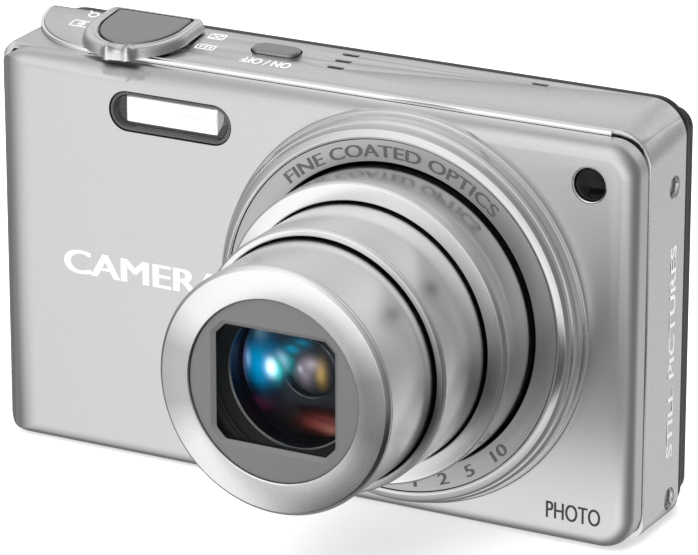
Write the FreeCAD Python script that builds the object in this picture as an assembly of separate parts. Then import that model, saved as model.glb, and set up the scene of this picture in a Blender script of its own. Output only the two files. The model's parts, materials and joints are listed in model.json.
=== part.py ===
import FreeCAD, Part
import math
import os

# Compact zoom camera, in millimetres.
# +X is to the right seen from the front, the lens points along -Y, +Z is up.
# The origin is the centre of the bottom face, half way through the body's depth.

Vec = FreeCAD.Vector

# ---- body envelope
BODY_WIDTH = 99.2
BODY_HEIGHT = 59.0
BODY_DEPTH = 20.6
HALF_WIDTH = BODY_WIDTH / 2
FRONT_Y = -BODY_DEPTH / 2
REAR_Y = BODY_DEPTH / 2
WALL = 0.9
GAP = 0.3
THIN_GAP = 0.05
PLAY = 0.2

# ---- front cover: a tray with a wrap round the left side
COVER_BACK_Y = -6.3
COVER_RIGHT_X = 49.5
COVER_BOTTOM_Z = 0.2
COVER_TOP_Z = 56.6
COVER_RADII = {"top_left": 6.5, "top_right": 4.5, "bottom_right": 4.75, "bottom_left": 5.5}
COVER_EDGE_R = 2.2
LEFT_PLAN_R = 7.4
WRAP_RIGHT_X = -44.05
SHELF_BOTTOM_Z = 50.0
WRAP_TOP_DROP = 0.65

# ---- satin band: sloping top plate, right side and bottom
BAND_FRONT_Y = -5.6
BAND_REAR_Y = 5.4
BAND_WALL = 1.1
BAND_TOP_RIGHT_R = 5.1
BAND_BOTTOM_RIGHT_R = 3.5
DECK_FRONT_Z = 57.4
DECK_REAR_Z = 58.85
DECK_SLOPE = (DECK_REAR_Z - DECK_FRONT_Z) / (BAND_REAR_Y - BAND_FRONT_Y)
DECK_ANGLE = math.degrees(math.atan(DECK_SLOPE))
OVAL_CENTRE_X = -35.0
OVAL_HALF_LENGTH = 12.5
OVAL_HALF_DEPTH = BAND_REAR_Y - BAND_FRONT_Y
MITRE_OFFSET = 7.83
TRIM_WIDTH = 0.5

# ---- rear cover
REAR_LEFT_X = -49.4
REAR_RIGHT_X = 49.0
REAR_BOTTOM_Z = 0.3
REAR_TOP_Z = 58.6
REAR_STEP_Y = 8.6
PANEL_LEFT_X = -48.3
PANEL_RIGHT_X = 48.5
PANEL_BOTTOM_Z = 1.6
PANEL_TOP_Z = 56.7
PANEL_R = 2.8
REAR_INNER_Y = 8.95
SCREEN_X = (-13.0, 46.0)
SCREEN_Z = (5.4, 53.4)
THUMB_X = (-45.5, -30.5)
THUMB_Z = (46.5, 53.5)
DOT_COLUMNS = 6
DOT_ROWS = 3
DOT_PITCH = 2.1
DOT_R = 0.45

# ---- lens
LENS_X = 16.12
LENS_Z = 29.63
BEZEL_OUTER_R = 27.5
BEZEL_RIM_R = 25.9
RING_OUTER_R = 24.6
RING_INNER_R = 21.3
BEZEL_FRONT_Y = -14.9
HOUSING_HALF = 23.0
HOUSING_REAR_Y = 3.0
HOUSING_FLOOR_Y = 1.9
STAGE_1_R = 20.9
STAGE_2_R = 18.1
STAGE_3_R = 16.75
STAGE_1_FRONT_Y = -22.55
STAGE_2_FRONT_Y = -34.3
STAGE_3_FRONT_Y = -46.7
STAGE_1_REAR_Y = -7.05
STAGE_2_REAR_Y = -18.05
STAGE_3_REAR_Y = -31.7
FRONT_RING_INNER_R = 12.36
APERTURE_HALF_WIDTH = 8.67
APERTURE_HALF_HEIGHT = 7.85
APERTURE_CUT = 1.4

# ---- flash and focus lamp
FLASH_X = (-29.46, -10.31)
FLASH_Z = (47.8, 53.55)
LAMP_X = 42.95
LAMP_Z = 50.92
LAMP_R = 2.52

# ---- controls on the top plate
LEVER_X = -30.2
LEVER_Y = -0.8
LEVER_R = 7.8
LEVER_REAR = 5.95
LEVER_CORNER_R = 1.6
LEVER_BOTTOM = 0.3
LEVER_TOP = 1.6
LEVER_BRIDGE_TOP = 1.5
TAB_X = 1.3
SCOOP_X = 2.9
SCOOP_R = 15.0
SCOOP_DEPTH = 0.6
KEY_HALF_WIDTH = 5.8
KEY_FRONT_DEPTH = 7.0
KEY_WIDEST = 1.7
KEY_REAR = 5.1
KEY_CORNER_R = 0.6
KEY_BOTTOM = 0.95
STEM_R = 1.2
STEM_BOTTOM = -3.2
POWER_X = -10.0
POWER_Y = 1.8
POWER_LENGTH = 7.2
POWER_WIDTH = 3.2
POWER_RAISE = 0.35

# ---- controls on the rear
PAD_X = -31.5
PAD_Z = 24.5
PAD_R = 8.8
REAR_BUTTON_R = 2.4
BUTTON_FRONT_Y = 8.3
BUTTON_REAR_Y = 10.6
REAR_BUTTONS = {
    "record_button": (-21.5, 48.5),
    "menu_button": (-21.5, 38.0),
    "playback_button": (-41.5, 9.5),
    "function_button": (-21.5, 9.5),
}

# ---- battery compartment
DOOR_X = (-42.8, -14.5)
DOOR_Y = (-5.5, 4.3)
DOOR_HINGE_Z = 0.75
DOOR_THICKNESS = 1.3
HINGE_PIN_R = 0.35
BATTERY_X = (-42.2, -15.2)
BATTERY_Y = (-4.4, 1.4)
BATTERY_Z = (2.2, 42.0)
CARD_X = (-40.8, -16.8)
CARD_Y = (2.2, 4.3)
CARD_Z = (2.2, 34.2)

TRIPOD_X = 16.12
TRIPOD_R = 3.175
TRIPOD_LENGTH = 5.0
SIDE_SCREWS = ((2.0, 48.1), (2.5, 3.9))
BOTTOM_SCREWS_X = (3.0, 29.0, 43.5)
SPEAKER_X = 0.3
SPEAKER_SLOTS_Y = (-0.37, 1.85, 4.0)
MICROPHONE_X = 28.8
MICROPHONE_Y = 4.0
CAPACITOR_R = 3.5
CAPACITOR_X = (-30.0, -12.0)
MOTOR_X = LENS_X + 18.4
MOTOR_Z = LENS_Z + 18.4
GEAR_X = LENS_X + 14.5
GEAR_Z = LENS_Z + 20.1
GEAR_SHAFT_R = 0.45


# ---------------------------------------------------------------- helpers
def block(x, y, z):
    """A box from three (low, high) pairs."""
    return Part.makeBox(x[1] - x[0], y[1] - y[0], z[1] - z[0], Vec(x[0], y[0], z[0]))


def rod_x(y, z, radius, x0, x1):
    return Part.makeCylinder(radius, x1 - x0, Vec(x0, y, z), Vec(1, 0, 0))


def rod_y(x, z, radius, y0, y1):
    return Part.makeCylinder(radius, y1 - y0, Vec(x, y0, z), Vec(0, 1, 0))


def rod_z(x, y, radius, z0, z1):
    return Part.makeCylinder(radius, z1 - z0, Vec(x, y, z0), Vec(0, 0, 1))


def tube_y(x, z, outer, inner, y0, y1):
    return rod_y(x, z, outer, y0, y1).cut(rod_y(x, z, inner, y0 - 1, y1 + 1))


def lens_rod(radius, y0, y1):
    return rod_y(LENS_X, LENS_Z, radius, y0, y1)


def lens_tube(outer, inner, y0, y1):
    return tube_y(LENS_X, LENS_Z, outer, inner, y0, y1)


def lens_turned(profile):
    """Turn a closed (radius, y) outline about the lens axis."""
    points = [Vec(LENS_X + radius, y, LENS_Z) for radius, y in profile]
    face = Part.Face(Part.makePolygon(points + points[:1]))
    return face.revolve(Vec(LENS_X, 0, LENS_Z), Vec(0, 1, 0), 360)


def prism(points, direction):
    return Part.Face(Part.makePolygon(points + points[:1])).extrude(direction)


def rounded_wire(low, high, radii, place):
    """A rectangle with its own radius at each corner; place maps (a, b) to a point."""
    a0, b0 = low
    a1, b1 = high
    corners = [
        (a0, b0, 1, 1, radii["bottom_left"], 180),
        (a1, b0, -1, 1, radii["bottom_right"], 270),
        (a1, b1, -1, -1, radii["top_right"], 0),
        (a0, b1, 1, -1, radii["top_left"], 90),
    ]
    arcs = []
    for a, b, in_a, in_b, radius, start in corners:
        centre = (a + in_a * radius, b + in_b * radius)
        angles = [math.radians(start + turn) for turn in (0, 45, 90)]
        arcs.append([place(centre[0] + radius * math.cos(t), centre[1] + radius * math.sin(t)) for t in angles])
    edges = []
    for index, arc in enumerate(arcs):
        following = arcs[(index + 1) % 4]
        edges.append(Part.Arc(*arc).toShape())
        if arc[2].distanceToPoint(following[0]) > 1e-6:
            edges.append(Part.LineSegment(arc[2], following[0]).toShape())
    return Part.Wire(edges)


def same_radii(radius):
    return {name: radius for name in ("top_left", "top_right", "bottom_right", "bottom_left")}


def plate_xz(x, z, radii, y0, y1):
    """A rounded rectangle in the XZ plane, y0 to y1."""
    wire = rounded_wire((x[0], z[0]), (x[1], z[1]), radii, lambda a, b: Vec(a, y0, b))
    return Part.Face(wire).extrude(Vec(0, y1 - y0, 0))


def plate_xy(x, y, radius, z0, z1):
    """A rounded rectangle in the XY plane, z0 to z1."""
    wire = rounded_wire((x[0], y[0]), (x[1], y[1]), same_radii(radius), lambda a, b: Vec(a, b, z0))
    return Part.Face(wire).extrude(Vec(0, 0, z1 - z0))


def edges_at_y(shape, y):
    """The edges of a shape that lie wholly in the plane at y."""
    found = []
    for edge in shape.Edges:
        box = edge.BoundBox
        if abs(box.YMin - y) < 1e-4 and abs(box.YMax - y) < 1e-4:
            found.append(edge)
    return found


def deck_z(y):
    return DECK_FRONT_Z + DECK_SLOPE * (y - BAND_FRONT_Y)


def on_deck(shape, x, y):
    """Set a shape built about the origin, +Z out of the deck, on the sloping deck at (x, y)."""
    shape.Placement = FreeCAD.Placement(Vec(x, y, deck_z(y)), FreeCAD.Rotation(Vec(1, 0, 0), DECK_ANGLE))
    return shape


def under_deck(depth_top, depth_bottom):
    """The slab between two depths under the deck plane, wider than the body."""
    y0, y1 = FRONT_Y - 2, REAR_Y + 2
    x0 = -HALF_WIDTH - 5
    points = [
        Vec(x0, y0, deck_z(y0) - depth_top),
        Vec(x0, y1, deck_z(y1) - depth_top),
        Vec(x0, y1, deck_z(y1) - depth_bottom),
        Vec(x0, y0, deck_z(y0) - depth_bottom),
    ]
    return prism(points, Vec(BODY_WIDTH + 10, 0, 0))


def deck_footprint(grow, right_x, rear_y):
    """The deck's plan: a quarter oval at the left, then straight to the right."""
    half_length = OVAL_HALF_LENGTH + grow
    half_depth = OVAL_HALF_DEPTH + grow
    ellipse = Part.Ellipse(Vec(OVAL_CENTRE_X, BAND_REAR_Y, 0), half_length, half_depth)
    oval = Part.ArcOfEllipse(ellipse, math.pi, 1.5 * math.pi).toShape()
    left = Vec(OVAL_CENTRE_X - half_length, BAND_REAR_Y, 0)
    front = Vec(OVAL_CENTRE_X, BAND_REAR_Y - half_depth, 0)
    path = [front, Vec(right_x, front.y, 0), Vec(right_x, rear_y, 0), Vec(left.x, rear_y, 0)]
    if rear_y > BAND_REAR_Y:
        path.append(left)
    lines = [Part.LineSegment(a, b).toShape() for a, b in zip(path[:-1], path[1:])]
    return Part.Face(Part.Wire([oval] + lines)).extrude(Vec(0, 0, BODY_HEIGHT * 2))


def gear(x, z, root_r, tip_r, teeth, bore_r, y0, y1):
    """A straight spur gear about a Y axis with tapered teeth."""
    points = []
    pitch = 2 * math.pi / teeth
    for tooth in range(teeth):
        for radius, share in ((root_r, -0.3), (tip_r, -0.14), (tip_r, 0.14), (root_r, 0.3)):
            angle = pitch * (tooth + share)
            points.append(Vec(x + radius * math.cos(angle), y0, z + radius * math.sin(angle)))
    return prism(points, Vec(0, y1 - y0, 0)).cut(rod_y(x, z, bore_r, y0 - 1, y1 + 1))


def cross_slot(centre, normal, size, depth):
    """A cross recess cut from a screw head, as two thin bars along the head's face."""
    bars = []
    for turn in (0, 90):
        bar = Part.makeBox(size, size * 0.24, depth * 2, Vec(-size / 2, -size * 0.12, -depth))
        bar.rotate(Vec(0, 0, 0), Vec(0, 0, 1), turn + 20)
        bars.append(bar)
    cross = bars[0].fuse(bars[1])
    facing = FreeCAD.Placement(centre, FreeCAD.Rotation(Vec(0, 0, 1), normal))
    cross.Placement = facing.multiply(cross.Placement)
    return cross


def save(name, *solids):
    shape = solids[0] if len(solids) == 1 else Part.makeCompound(list(solids))
    for solid in shape.Solids:
        if not solid.isValid() or not solid.isClosed():
            raise ValueError("bad solid in " + name)
    if not shape.Solids:
        raise ValueError("no solid in " + name)
    if shape.ShapeType != "Solid" and len(shape.Solids) == 1:
        shape = shape.Solids[0]
    shape.exportStep("parts/" + name + ".step")


# ---------------------------------------------------------------- outer shells
def cover_blank(inset):
    """The cover's outer form moved inwards by inset, closed at the back."""
    x = (-HALF_WIDTH + inset, COVER_RIGHT_X - inset)
    radii = {name: radius - inset for name, radius in COVER_RADII.items()}
    front = FRONT_Y + inset
    tray = plate_xz(x, (COVER_BOTTOM_Z + inset, COVER_TOP_Z - inset), radii, front, COVER_BACK_Y)
    tray = tray.makeFillet(COVER_EDGE_R - inset, edges_at_y(tray, front))
    wrap_top = deck_z(BAND_REAR_Y) - WRAP_TOP_DROP - inset
    wrap = plate_xz(x, (COVER_BOTTOM_Z + inset, wrap_top), radii, COVER_BACK_Y - 1, BAND_REAR_Y)
    side = block((-HALF_WIDTH, WRAP_RIGHT_X), (COVER_BACK_Y, BAND_REAR_Y), (0, BODY_HEIGHT))
    shelf_z = (SHELF_BOTTOM_Z + inset, BODY_HEIGHT)
    shelf = block((-HALF_WIDTH, OVAL_CENTRE_X), (COVER_BACK_Y, BAND_REAR_Y), shelf_z)
    wrap = wrap.common(side.fuse(shelf))
    wrap = wrap.cut(under_deck(-10, WRAP_TOP_DROP + inset))
    radius = LEFT_PLAN_R - inset
    plan_x = (-HALF_WIDTH + inset, HALF_WIDTH)
    plan = plate_xz(plan_x, (-1, BODY_HEIGHT + 1), same_radii(0.5), front, front + 20)
    corner = block((x[0] - 1, x[0] + radius), (front - 1, front + radius), (-2, BODY_HEIGHT + 2))
    corner = corner.cut(rod_z(x[0] + radius, front + radius, radius, -2, BODY_HEIGHT + 2))
    return tray.fuse(wrap).common(plan).cut(corner)


def flash_opening(grow, y0, y1):
    radius = (FLASH_Z[1] - FLASH_Z[0]) / 2 + grow - 0.01
    x = (FLASH_X[0] - grow, FLASH_X[1] + grow)
    z = (FLASH_Z[0] - grow, FLASH_Z[1] + grow)
    return plate_xz(x, z, same_radii(radius), y0, y1)


def finger_scoop():
    """The ball that hollows the cover's top bend under the zoom lever, short of its wall's thickness."""
    lean = math.radians(56)
    bend_y = FRONT_Y + COVER_EDGE_R * (1 - math.sqrt(0.5))
    bend_z = COVER_TOP_Z - COVER_EDGE_R * (1 - math.sqrt(0.5))
    reach = SCOOP_R - SCOOP_DEPTH
    centre = Vec(LEVER_X + SCOOP_X, bend_y - reach * math.cos(lean), bend_z + reach * math.sin(lean))
    return Part.makeSphere(SCOOP_R, centre)


def front_cover():
    shell = cover_blank(0).cut(cover_blank(WALL))
    side_window = block((-HALF_WIDTH + WALL, WRAP_RIGHT_X + 1), (COVER_BACK_Y - 1, COVER_BACK_Y + 1), (8, 50))
    shell = shell.cut(side_window)
    shell = shell.cut(lens_rod(BEZEL_RIM_R, FRONT_Y - 1, COVER_BACK_Y))
    shell = shell.cut(flash_opening(0, FRONT_Y - 1, COVER_BACK_Y))
    shell = shell.cut(rod_y(LAMP_X, LAMP_Z, LAMP_R, FRONT_Y - 1, COVER_BACK_Y))
    shell = shell.cut(deck_footprint(TRIM_WIDTH + THIN_GAP, HALF_WIDTH + 5, REAR_Y))
    shell = shell.cut(finger_scoop())
    shell = shell.cut(block((-HALF_WIDTH - 1, -HALF_WIDTH + 2), (-1.2, 3.2), (40.0, 47.0)))
    return shell


def band_loft(inset):
    """The band's outer form, lofted from its low front edge to its high rear edge."""
    wires = []
    radii = same_radii(2.0)
    radii["top_right"] = BAND_TOP_RIGHT_R - inset
    radii["bottom_right"] = BAND_BOTTOM_RIGHT_R - inset
    for y, top in ((BAND_FRONT_Y, DECK_FRONT_Z), (BAND_REAR_Y, DECK_REAR_Z)):
        low = (-HALF_WIDTH - 10, inset)
        high = (HALF_WIDTH - inset, top - inset)
        wires.append(rounded_wire(low, high, radii, lambda a, b, y=y: Vec(a, y, b)))
    return Part.makeLoft(wires, True, True)


def band():
    return band_loft(0).cut(band_loft(BAND_WALL))


def above_mitre():
    """The space above the 45 degree mitre at the band's top right corner."""
    low = 30.0
    points = [
        Vec(-HALF_WIDTH - 20, REAR_Y, low),
        Vec(low - MITRE_OFFSET, REAR_Y, low),
        Vec(BODY_HEIGHT + 20 - MITRE_OFFSET, REAR_Y, BODY_HEIGHT + 20),
        Vec(-HALF_WIDTH - 20, REAR_Y, BODY_HEIGHT + 20),
    ]
    return prism(points, Vec(0, -BODY_DEPTH, 0))


def pill(length, width, z0, z1):
    """A pill-shaped column about the origin, long along X."""
    radius = width / 2 - 0.01
    return plate_xy((-length / 2, length / 2), (-width / 2, width / 2), radius, z0, z1)


def key_outline(grow, z0, z1):
    """A column with the shutter button's outline: half an ellipse in front, straight sides and a flat rear."""
    half = KEY_HALF_WIDTH + grow
    rear = KEY_REAR + grow
    front = Vec(0, KEY_WIDEST - KEY_FRONT_DEPTH - grow, z0)
    ellipse = Part.Ellipse(front, Vec(half, KEY_WIDEST, z0), Vec(0, KEY_WIDEST, z0))
    arc = Part.ArcOfEllipse(ellipse, -math.pi / 2, math.pi / 2).toShape()
    corners = [Vec(half, KEY_WIDEST, z0), Vec(half, rear, z0), Vec(-half, rear, z0), Vec(-half, KEY_WIDEST, z0)]
    sides = [Part.LineSegment(a, b).toShape() for a, b in zip(corners[:-1], corners[1:])]
    column = Part.Face(Part.Wire([arc] + sides)).extrude(Vec(0, 0, z1 - z0))
    uprights = [edge for edge in column.Edges if all(abs(v.Y - rear) < 0.01 for v in edge.Vertexes)
                and abs(edge.Vertexes[0].Z - edge.Vertexes[-1].Z) > 0.1]
    return column.makeFillet(KEY_CORNER_R, uprights)


def top_plate():
    plate = band().common(above_mitre()).common(deck_footprint(0, HALF_WIDTH + 5, BAND_REAR_Y))
    cutters = [
        on_deck(rod_z(0, 0, STEM_R + 0.4, -4, 4), LEVER_X, LEVER_Y),
        on_deck(pill(POWER_LENGTH + 0.4, POWER_WIDTH + 0.4, -4, 4), POWER_X, POWER_Y),
        on_deck(pill(2.4, 0.7, -4, 4), MICROPHONE_X, MICROPHONE_Y),
    ]
    for y in SPEAKER_SLOTS_Y:
        cutters.append(on_deck(pill(2.5, 0.8, -4, 4), SPEAKER_X, y))
    for cutter in cutters:
        plate = plate.cut(cutter)
    return plate


def deck_trim():
    """The polished strip between the cover and the deck."""
    ring = deck_footprint(TRIM_WIDTH, 44.0, BAND_REAR_Y).cut(deck_footprint(THIN_GAP, 60.0, REAR_Y))
    return ring.common(under_deck(0.12, 1.5))


def side_band():
    frame = band().cut(above_mitre())
    frame = frame.common(block((DOOR_X[1] + GAP, HALF_WIDTH), (FRONT_Y, REAR_Y), (-1, BODY_HEIGHT)))
    frame = frame.cut(rod_x(DOOR_Y[1], DOOR_HINGE_Z, HINGE_PIN_R + 0.01, DOOR_X[1], DOOR_X[1] + 1.2))
    frame = frame.cut(rod_z(TRIPOD_X, 0, 4.65, -1, 3))
    frame = frame.cut(plate_xy((33.4, 41.6), (-1.9, 1.9), 0.8, -1, 3))
    for y, z in SIDE_SCREWS:
        frame = frame.cut(rod_x(y, z, 1.6, HALF_WIDTH - 0.7, HALF_WIDTH + 1))
    for x in BOTTOM_SCREWS_X:
        frame = frame.cut(rod_z(x, 3.4, 1.3, -1, 0.7))
    return frame


def rear_cover():
    radii = {"top_left": 6.3, "top_right": 4.8, "bottom_right": 3.4, "bottom_left": 5.4}
    outer_z = (REAR_BOTTOM_Z, REAR_TOP_Z)
    base = plate_xz((REAR_LEFT_X, REAR_RIGHT_X), outer_z, radii, BAND_REAR_Y + THIN_GAP, REAR_STEP_Y)
    base = base.makeFillet(1.4, edges_at_y(base, REAR_STEP_Y))
    panel_z = (PANEL_BOTTOM_Z, PANEL_TOP_Z)
    panel = plate_xz((PANEL_LEFT_X, PANEL_RIGHT_X), panel_z, same_radii(PANEL_R), 7.4, REAR_Y)
    panel = panel.makeFillet(0.6, edges_at_y(panel, REAR_Y))
    shell = base.fuse(panel)
    shell = shell.cut(plate_xz((-46.8, 46.8), (2.6, 56.0), same_radii(2.0), 5.0, REAR_INNER_Y))
    shell = shell.cut(plate_xz(SCREEN_X, SCREEN_Z, same_radii(0.8), 8.0, REAR_Y + 1))
    shell = shell.cut(rod_y(PAD_X, PAD_Z, PAD_R + GAP, 8.0, REAR_Y + 1))
    for x, z in REAR_BUTTONS.values():
        shell = shell.cut(rod_y(x, z, REAR_BUTTON_R + GAP, 8.0, REAR_Y + 1))
    shell = shell.cut(plate_xz(THUMB_X, THUMB_Z, same_radii(1.5), REAR_Y - 0.5, REAR_Y + 1))
    return shell


def thumb_rest():
    pad_x = (THUMB_X[0] + THIN_GAP, THUMB_X[1] - THIN_GAP)
    pad_z = (THUMB_Z[0] + THIN_GAP, THUMB_Z[1] - THIN_GAP)
    pad = plate_xz(pad_x, pad_z, same_radii(1.45), REAR_Y - 0.45, REAR_Y + 0.2)
    for column in range(DOT_COLUMNS):
        for row in range(DOT_ROWS):
            x = (THUMB_X[0] + THUMB_X[1]) / 2 + (column - (DOT_COLUMNS - 1) / 2) * DOT_PITCH
            z = (THUMB_Z[0] + THUMB_Z[1]) / 2 + (row - (DOT_ROWS - 1) / 2) * DOT_PITCH
            pad = pad.fuse(rod_y(x, z, DOT_R, REAR_Y, REAR_Y + 0.45))
    return pad.removeSplitter()


# ---------------------------------------------------------------- lens unit
def lens_bezel():
    """The stepped collar round the lens, one turned ring."""
    steps = [
        (BEZEL_OUTER_R, FRONT_Y),
        (BEZEL_OUTER_R, FRONT_Y - 0.7),
        (27.1, FRONT_Y - 1.3),
        (26.9, FRONT_Y - 1.3),
        (26.8, FRONT_Y - 2.6),
        (26.3, FRONT_Y - 2.9),
        (26.3, FRONT_Y - 3.7),
        (BEZEL_RIM_R, FRONT_Y - 4.1),
        (RING_OUTER_R + 0.2, BEZEL_FRONT_Y),
        (RING_OUTER_R, BEZEL_FRONT_Y),
        (RING_OUTER_R, FRONT_Y - 3.2),
        (24.3, FRONT_Y - 3.2),
        (24.3, FRONT_Y + 0.8),
        (BEZEL_RIM_R - THIN_GAP, FRONT_Y + 0.8),
        (BEZEL_RIM_R - THIN_GAP, FRONT_Y),
    ]
    return lens_turned(steps)


def lens_ring():
    """The flat ring just inside the collar; it carries the focal length marking."""
    outline = [
        (RING_OUTER_R - THIN_GAP, BEZEL_FRONT_Y + 0.1),
        (RING_INNER_R, BEZEL_FRONT_Y + 0.4),
        (RING_INNER_R, BEZEL_FRONT_Y + 1.6),
        (RING_OUTER_R - THIN_GAP, BEZEL_FRONT_Y + 1.3),
    ]
    return lens_turned(outline)


def lens_housing():
    x = (LENS_X - HOUSING_HALF, LENS_X + HOUSING_HALF)
    z = (LENS_Z - HOUSING_HALF, LENS_Z + HOUSING_HALF)
    front = FRONT_Y + WALL + 0.1
    body = plate_xz(x, z, same_radii(3.0), front, HOUSING_REAR_Y)
    body = body.fuse(lens_rod(24.2, FRONT_Y - 2.9, front + 2).cut(block((-60, 60), (-20, 20), (52.9, 70))))
    body = body.cut(lens_rod(RING_INNER_R + 0.02, -20, HOUSING_FLOOR_Y))
    body = body.cut(lens_rod(5.0, 0, HOUSING_REAR_Y + 1))
    body = body.cut(rod_y(MOTOR_X, MOTOR_Z, 3.2, -6.2, HOUSING_REAR_Y + 1))
    body = body.cut(rod_y(MOTOR_X, MOTOR_Z, 2.0, -8.6, -6.0))
    body = body.cut(rod_y(GEAR_X, GEAR_Z, 2.7, -8.6, -6.4))
    body = body.fuse(rod_y(GEAR_X, GEAR_Z, GEAR_SHAFT_R, -8.4, -6.0))
    return body


def barrel(outer_r, inner_r, lip_r, front_y, rear_y):
    """A telescoping barrel: a thin tube with a lip at the front and a small front chamfer."""
    chamfer = 0.25
    outline = [
        (lip_r, front_y),
        (outer_r - chamfer, front_y),
        (outer_r, front_y + chamfer),
        (outer_r, rear_y),
        (inner_r, rear_y),
        (inner_r, front_y + 1.2),
        (lip_r, front_y + 1.2),
    ]
    return lens_turned(outline)


def front_ring():
    outline = [
        (FRONT_RING_INNER_R, STAGE_3_FRONT_Y),
        (STAGE_3_R - 0.5, STAGE_3_FRONT_Y),
        (STAGE_3_R, STAGE_3_FRONT_Y + 0.5),
        (STAGE_3_R, STAGE_3_FRONT_Y + 0.8),
        (FRONT_RING_INNER_R, STAGE_3_FRONT_Y + 0.8),
    ]
    return lens_turned(outline)


def octagon(half_width, half_height, cut, y0, y1):
    corners = []
    for sx, sz in ((1, 1), (-1, 1), (-1, -1), (1, -1)):
        along = (LENS_X + sx * (half_width - cut), LENS_Z + sz * half_height)
        up = (LENS_X + sx * half_width, LENS_Z + sz * (half_height - cut))
        corners += [up, along] if sx * sz > 0 else [along, up]
    return prism([Vec(x, y0, z) for x, z in corners], Vec(0, y1 - y0, 0))


def aperture_plate():
    plate = lens_rod(FRONT_RING_INNER_R - THIN_GAP, STAGE_3_FRONT_Y + 0.35, STAGE_3_FRONT_Y + 0.85)
    return plate.cut(octagon(APERTURE_HALF_WIDTH, APERTURE_HALF_HEIGHT, APERTURE_CUT, -50, -40))


def barrier_leaf(side, layer):
    """One straight-running cover leaf, drawn in its open place above or below the window."""
    inner_edge = 8.1
    height = 4.15
    front = STAGE_3_FRONT_Y + 1.2 + layer * 0.75
    half = 8.95
    z = sorted((LENS_Z + side * inner_edge, LENS_Z + side * (inner_edge + height)))
    return block((LENS_X - half, LENS_X + half), (front, front + 0.4), z)


def front_lens():
    """A meniscus-fronted element: a cylinder with a domed face."""
    front = STAGE_3_FRONT_Y + 3.3
    rear = STAGE_3_FRONT_Y + 8.6
    radius = 24.0
    dome = Part.makeSphere(radius, Vec(LENS_X, front + radius, LENS_Z))
    return lens_rod(10.8, front - 1, rear).common(dome)


def front_lens_holder():
    front = STAGE_3_FRONT_Y + 3.0
    outline = [
        (10.85, front + 2.6),
        (11.6, front),
        (STAGE_3_R - 1.2, front),
        (STAGE_3_R - 1.2, front + 6.4),
        (10.85, front + 6.4),
    ]
    return lens_turned(outline)


def second_group_holder():
    rear = STAGE_2_REAR_Y
    outline = [
        (8.5, rear - 3.4),
        (9.6, rear - 3.4),
        (9.6, rear - 1.1),
        (STAGE_2_R - 1.03, rear - 1.1),
        (STAGE_2_R - 1.03, rear),
        (8.5, rear),
    ]
    return lens_turned(outline)


def second_lens():
    radius = 15.0
    rear = STAGE_2_REAR_Y - 0.2
    dome = Part.makeSphere(radius, Vec(LENS_X, rear - 2.9 + radius, LENS_Z))
    return lens_rod(8.45, rear - 3.2, rear).common(dome)


# ---------------------------------------------------------------- flash, lamp, inner parts
def flash_reflector():
    body = block((-27.6, -12.2), (-9.15, -5.3), (48.5, 52.85))
    trough = rod_x(-9.6, 50.67, 1.95, -27.2, -12.6)
    return body.cut(trough).cut(rod_x(-7.4, 50.67, 0.85, -28, -12))


def af_lamp():
    radius = 4.0
    dome = Part.makeSphere(radius, Vec(LAMP_X, FRONT_Y - 0.35 + radius, LAMP_Z))
    return rod_y(LAMP_X, LAMP_Z, LAMP_R - THIN_GAP, FRONT_Y - 1, -8.2).common(dome)


def battery_chamber():
    x = (-44.0, -14.35)
    chamber = block((x[0] + 0.2, x[1] - 0.05), (-5.2, 5.1), (1.6, 44.0))
    for across, along, top in ((BATTERY_X, BATTERY_Y, 42.6), (CARD_X, CARD_Y, 35.0)):
        pocket_x = (across[0] - PLAY, across[1] + PLAY)
        pocket_y = (along[0] - PLAY, along[1] + PLAY)
        chamber = chamber.cut(block(pocket_x, pocket_y, (0, top)))
    lug = block((x[0], DOOR_X[0] - GAP), (BAND_FRONT_Y, BAND_REAR_Y - 0.2), (0.05, 1.6))
    lug = lug.cut(rod_x(DOOR_Y[1], DOOR_HINGE_Z, HINGE_PIN_R + 0.01, x[0] - 1, DOOR_X[0]))
    return chamber.fuse(lug)


def battery_door():
    plate = block(DOOR_X, DOOR_Y, (0, DOOR_THICKNESS))
    plate = plate.cut(block((-60, 0), (DOOR_Y[1] - 0.95, DOOR_Y[1] + 1), (DOOR_HINGE_Z, 3)))
    knuckle = rod_x(DOOR_Y[1], DOOR_HINGE_Z, DOOR_HINGE_Z, DOOR_X[0], DOOR_X[1])
    door = plate.fuse(knuckle)
    door = door.cut(rod_x(DOOR_Y[1], DOOR_HINGE_Z, HINGE_PIN_R + 0.05, DOOR_X[0] - 1, DOOR_X[1] + 1))
    return door.cut(block((-32.7, -24.7), (-4.6, -1.8), (-1, 0.9)))


def door_latch():
    slider = block((-32.4, -26.8), (-4.3, -2.1), (0.05, 0.6))
    for ridge in range(4):
        slot = block((-31.6 + ridge * 1.2, -31.2 + ridge * 1.2), (-5, 0), (-1, 0.25))
        slider = slider.cut(slot)
    return slider


def tripod_bush():
    flange = rod_z(TRIPOD_X, 0, 4.6, 0, 1.2).fuse(rod_z(TRIPOD_X, 0, 4.2, 1.2, 6.0))
    return flange.cut(rod_z(TRIPOD_X, 0, TRIPOD_R, -1, TRIPOD_LENGTH))


def av_socket():
    shell = plate_xy((33.6, 41.4), (-1.7, 1.7), 0.7, 0.4, 6.2)
    shell = shell.cut(plate_xy((33.9, 41.1), (-1.4, 1.4), 0.5, 0, 5.8))
    tongue = block((34.9, 40.1), (-0.4, 0.4), (1.4, 5.9))
    return shell.fuse(tongue)


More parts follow.
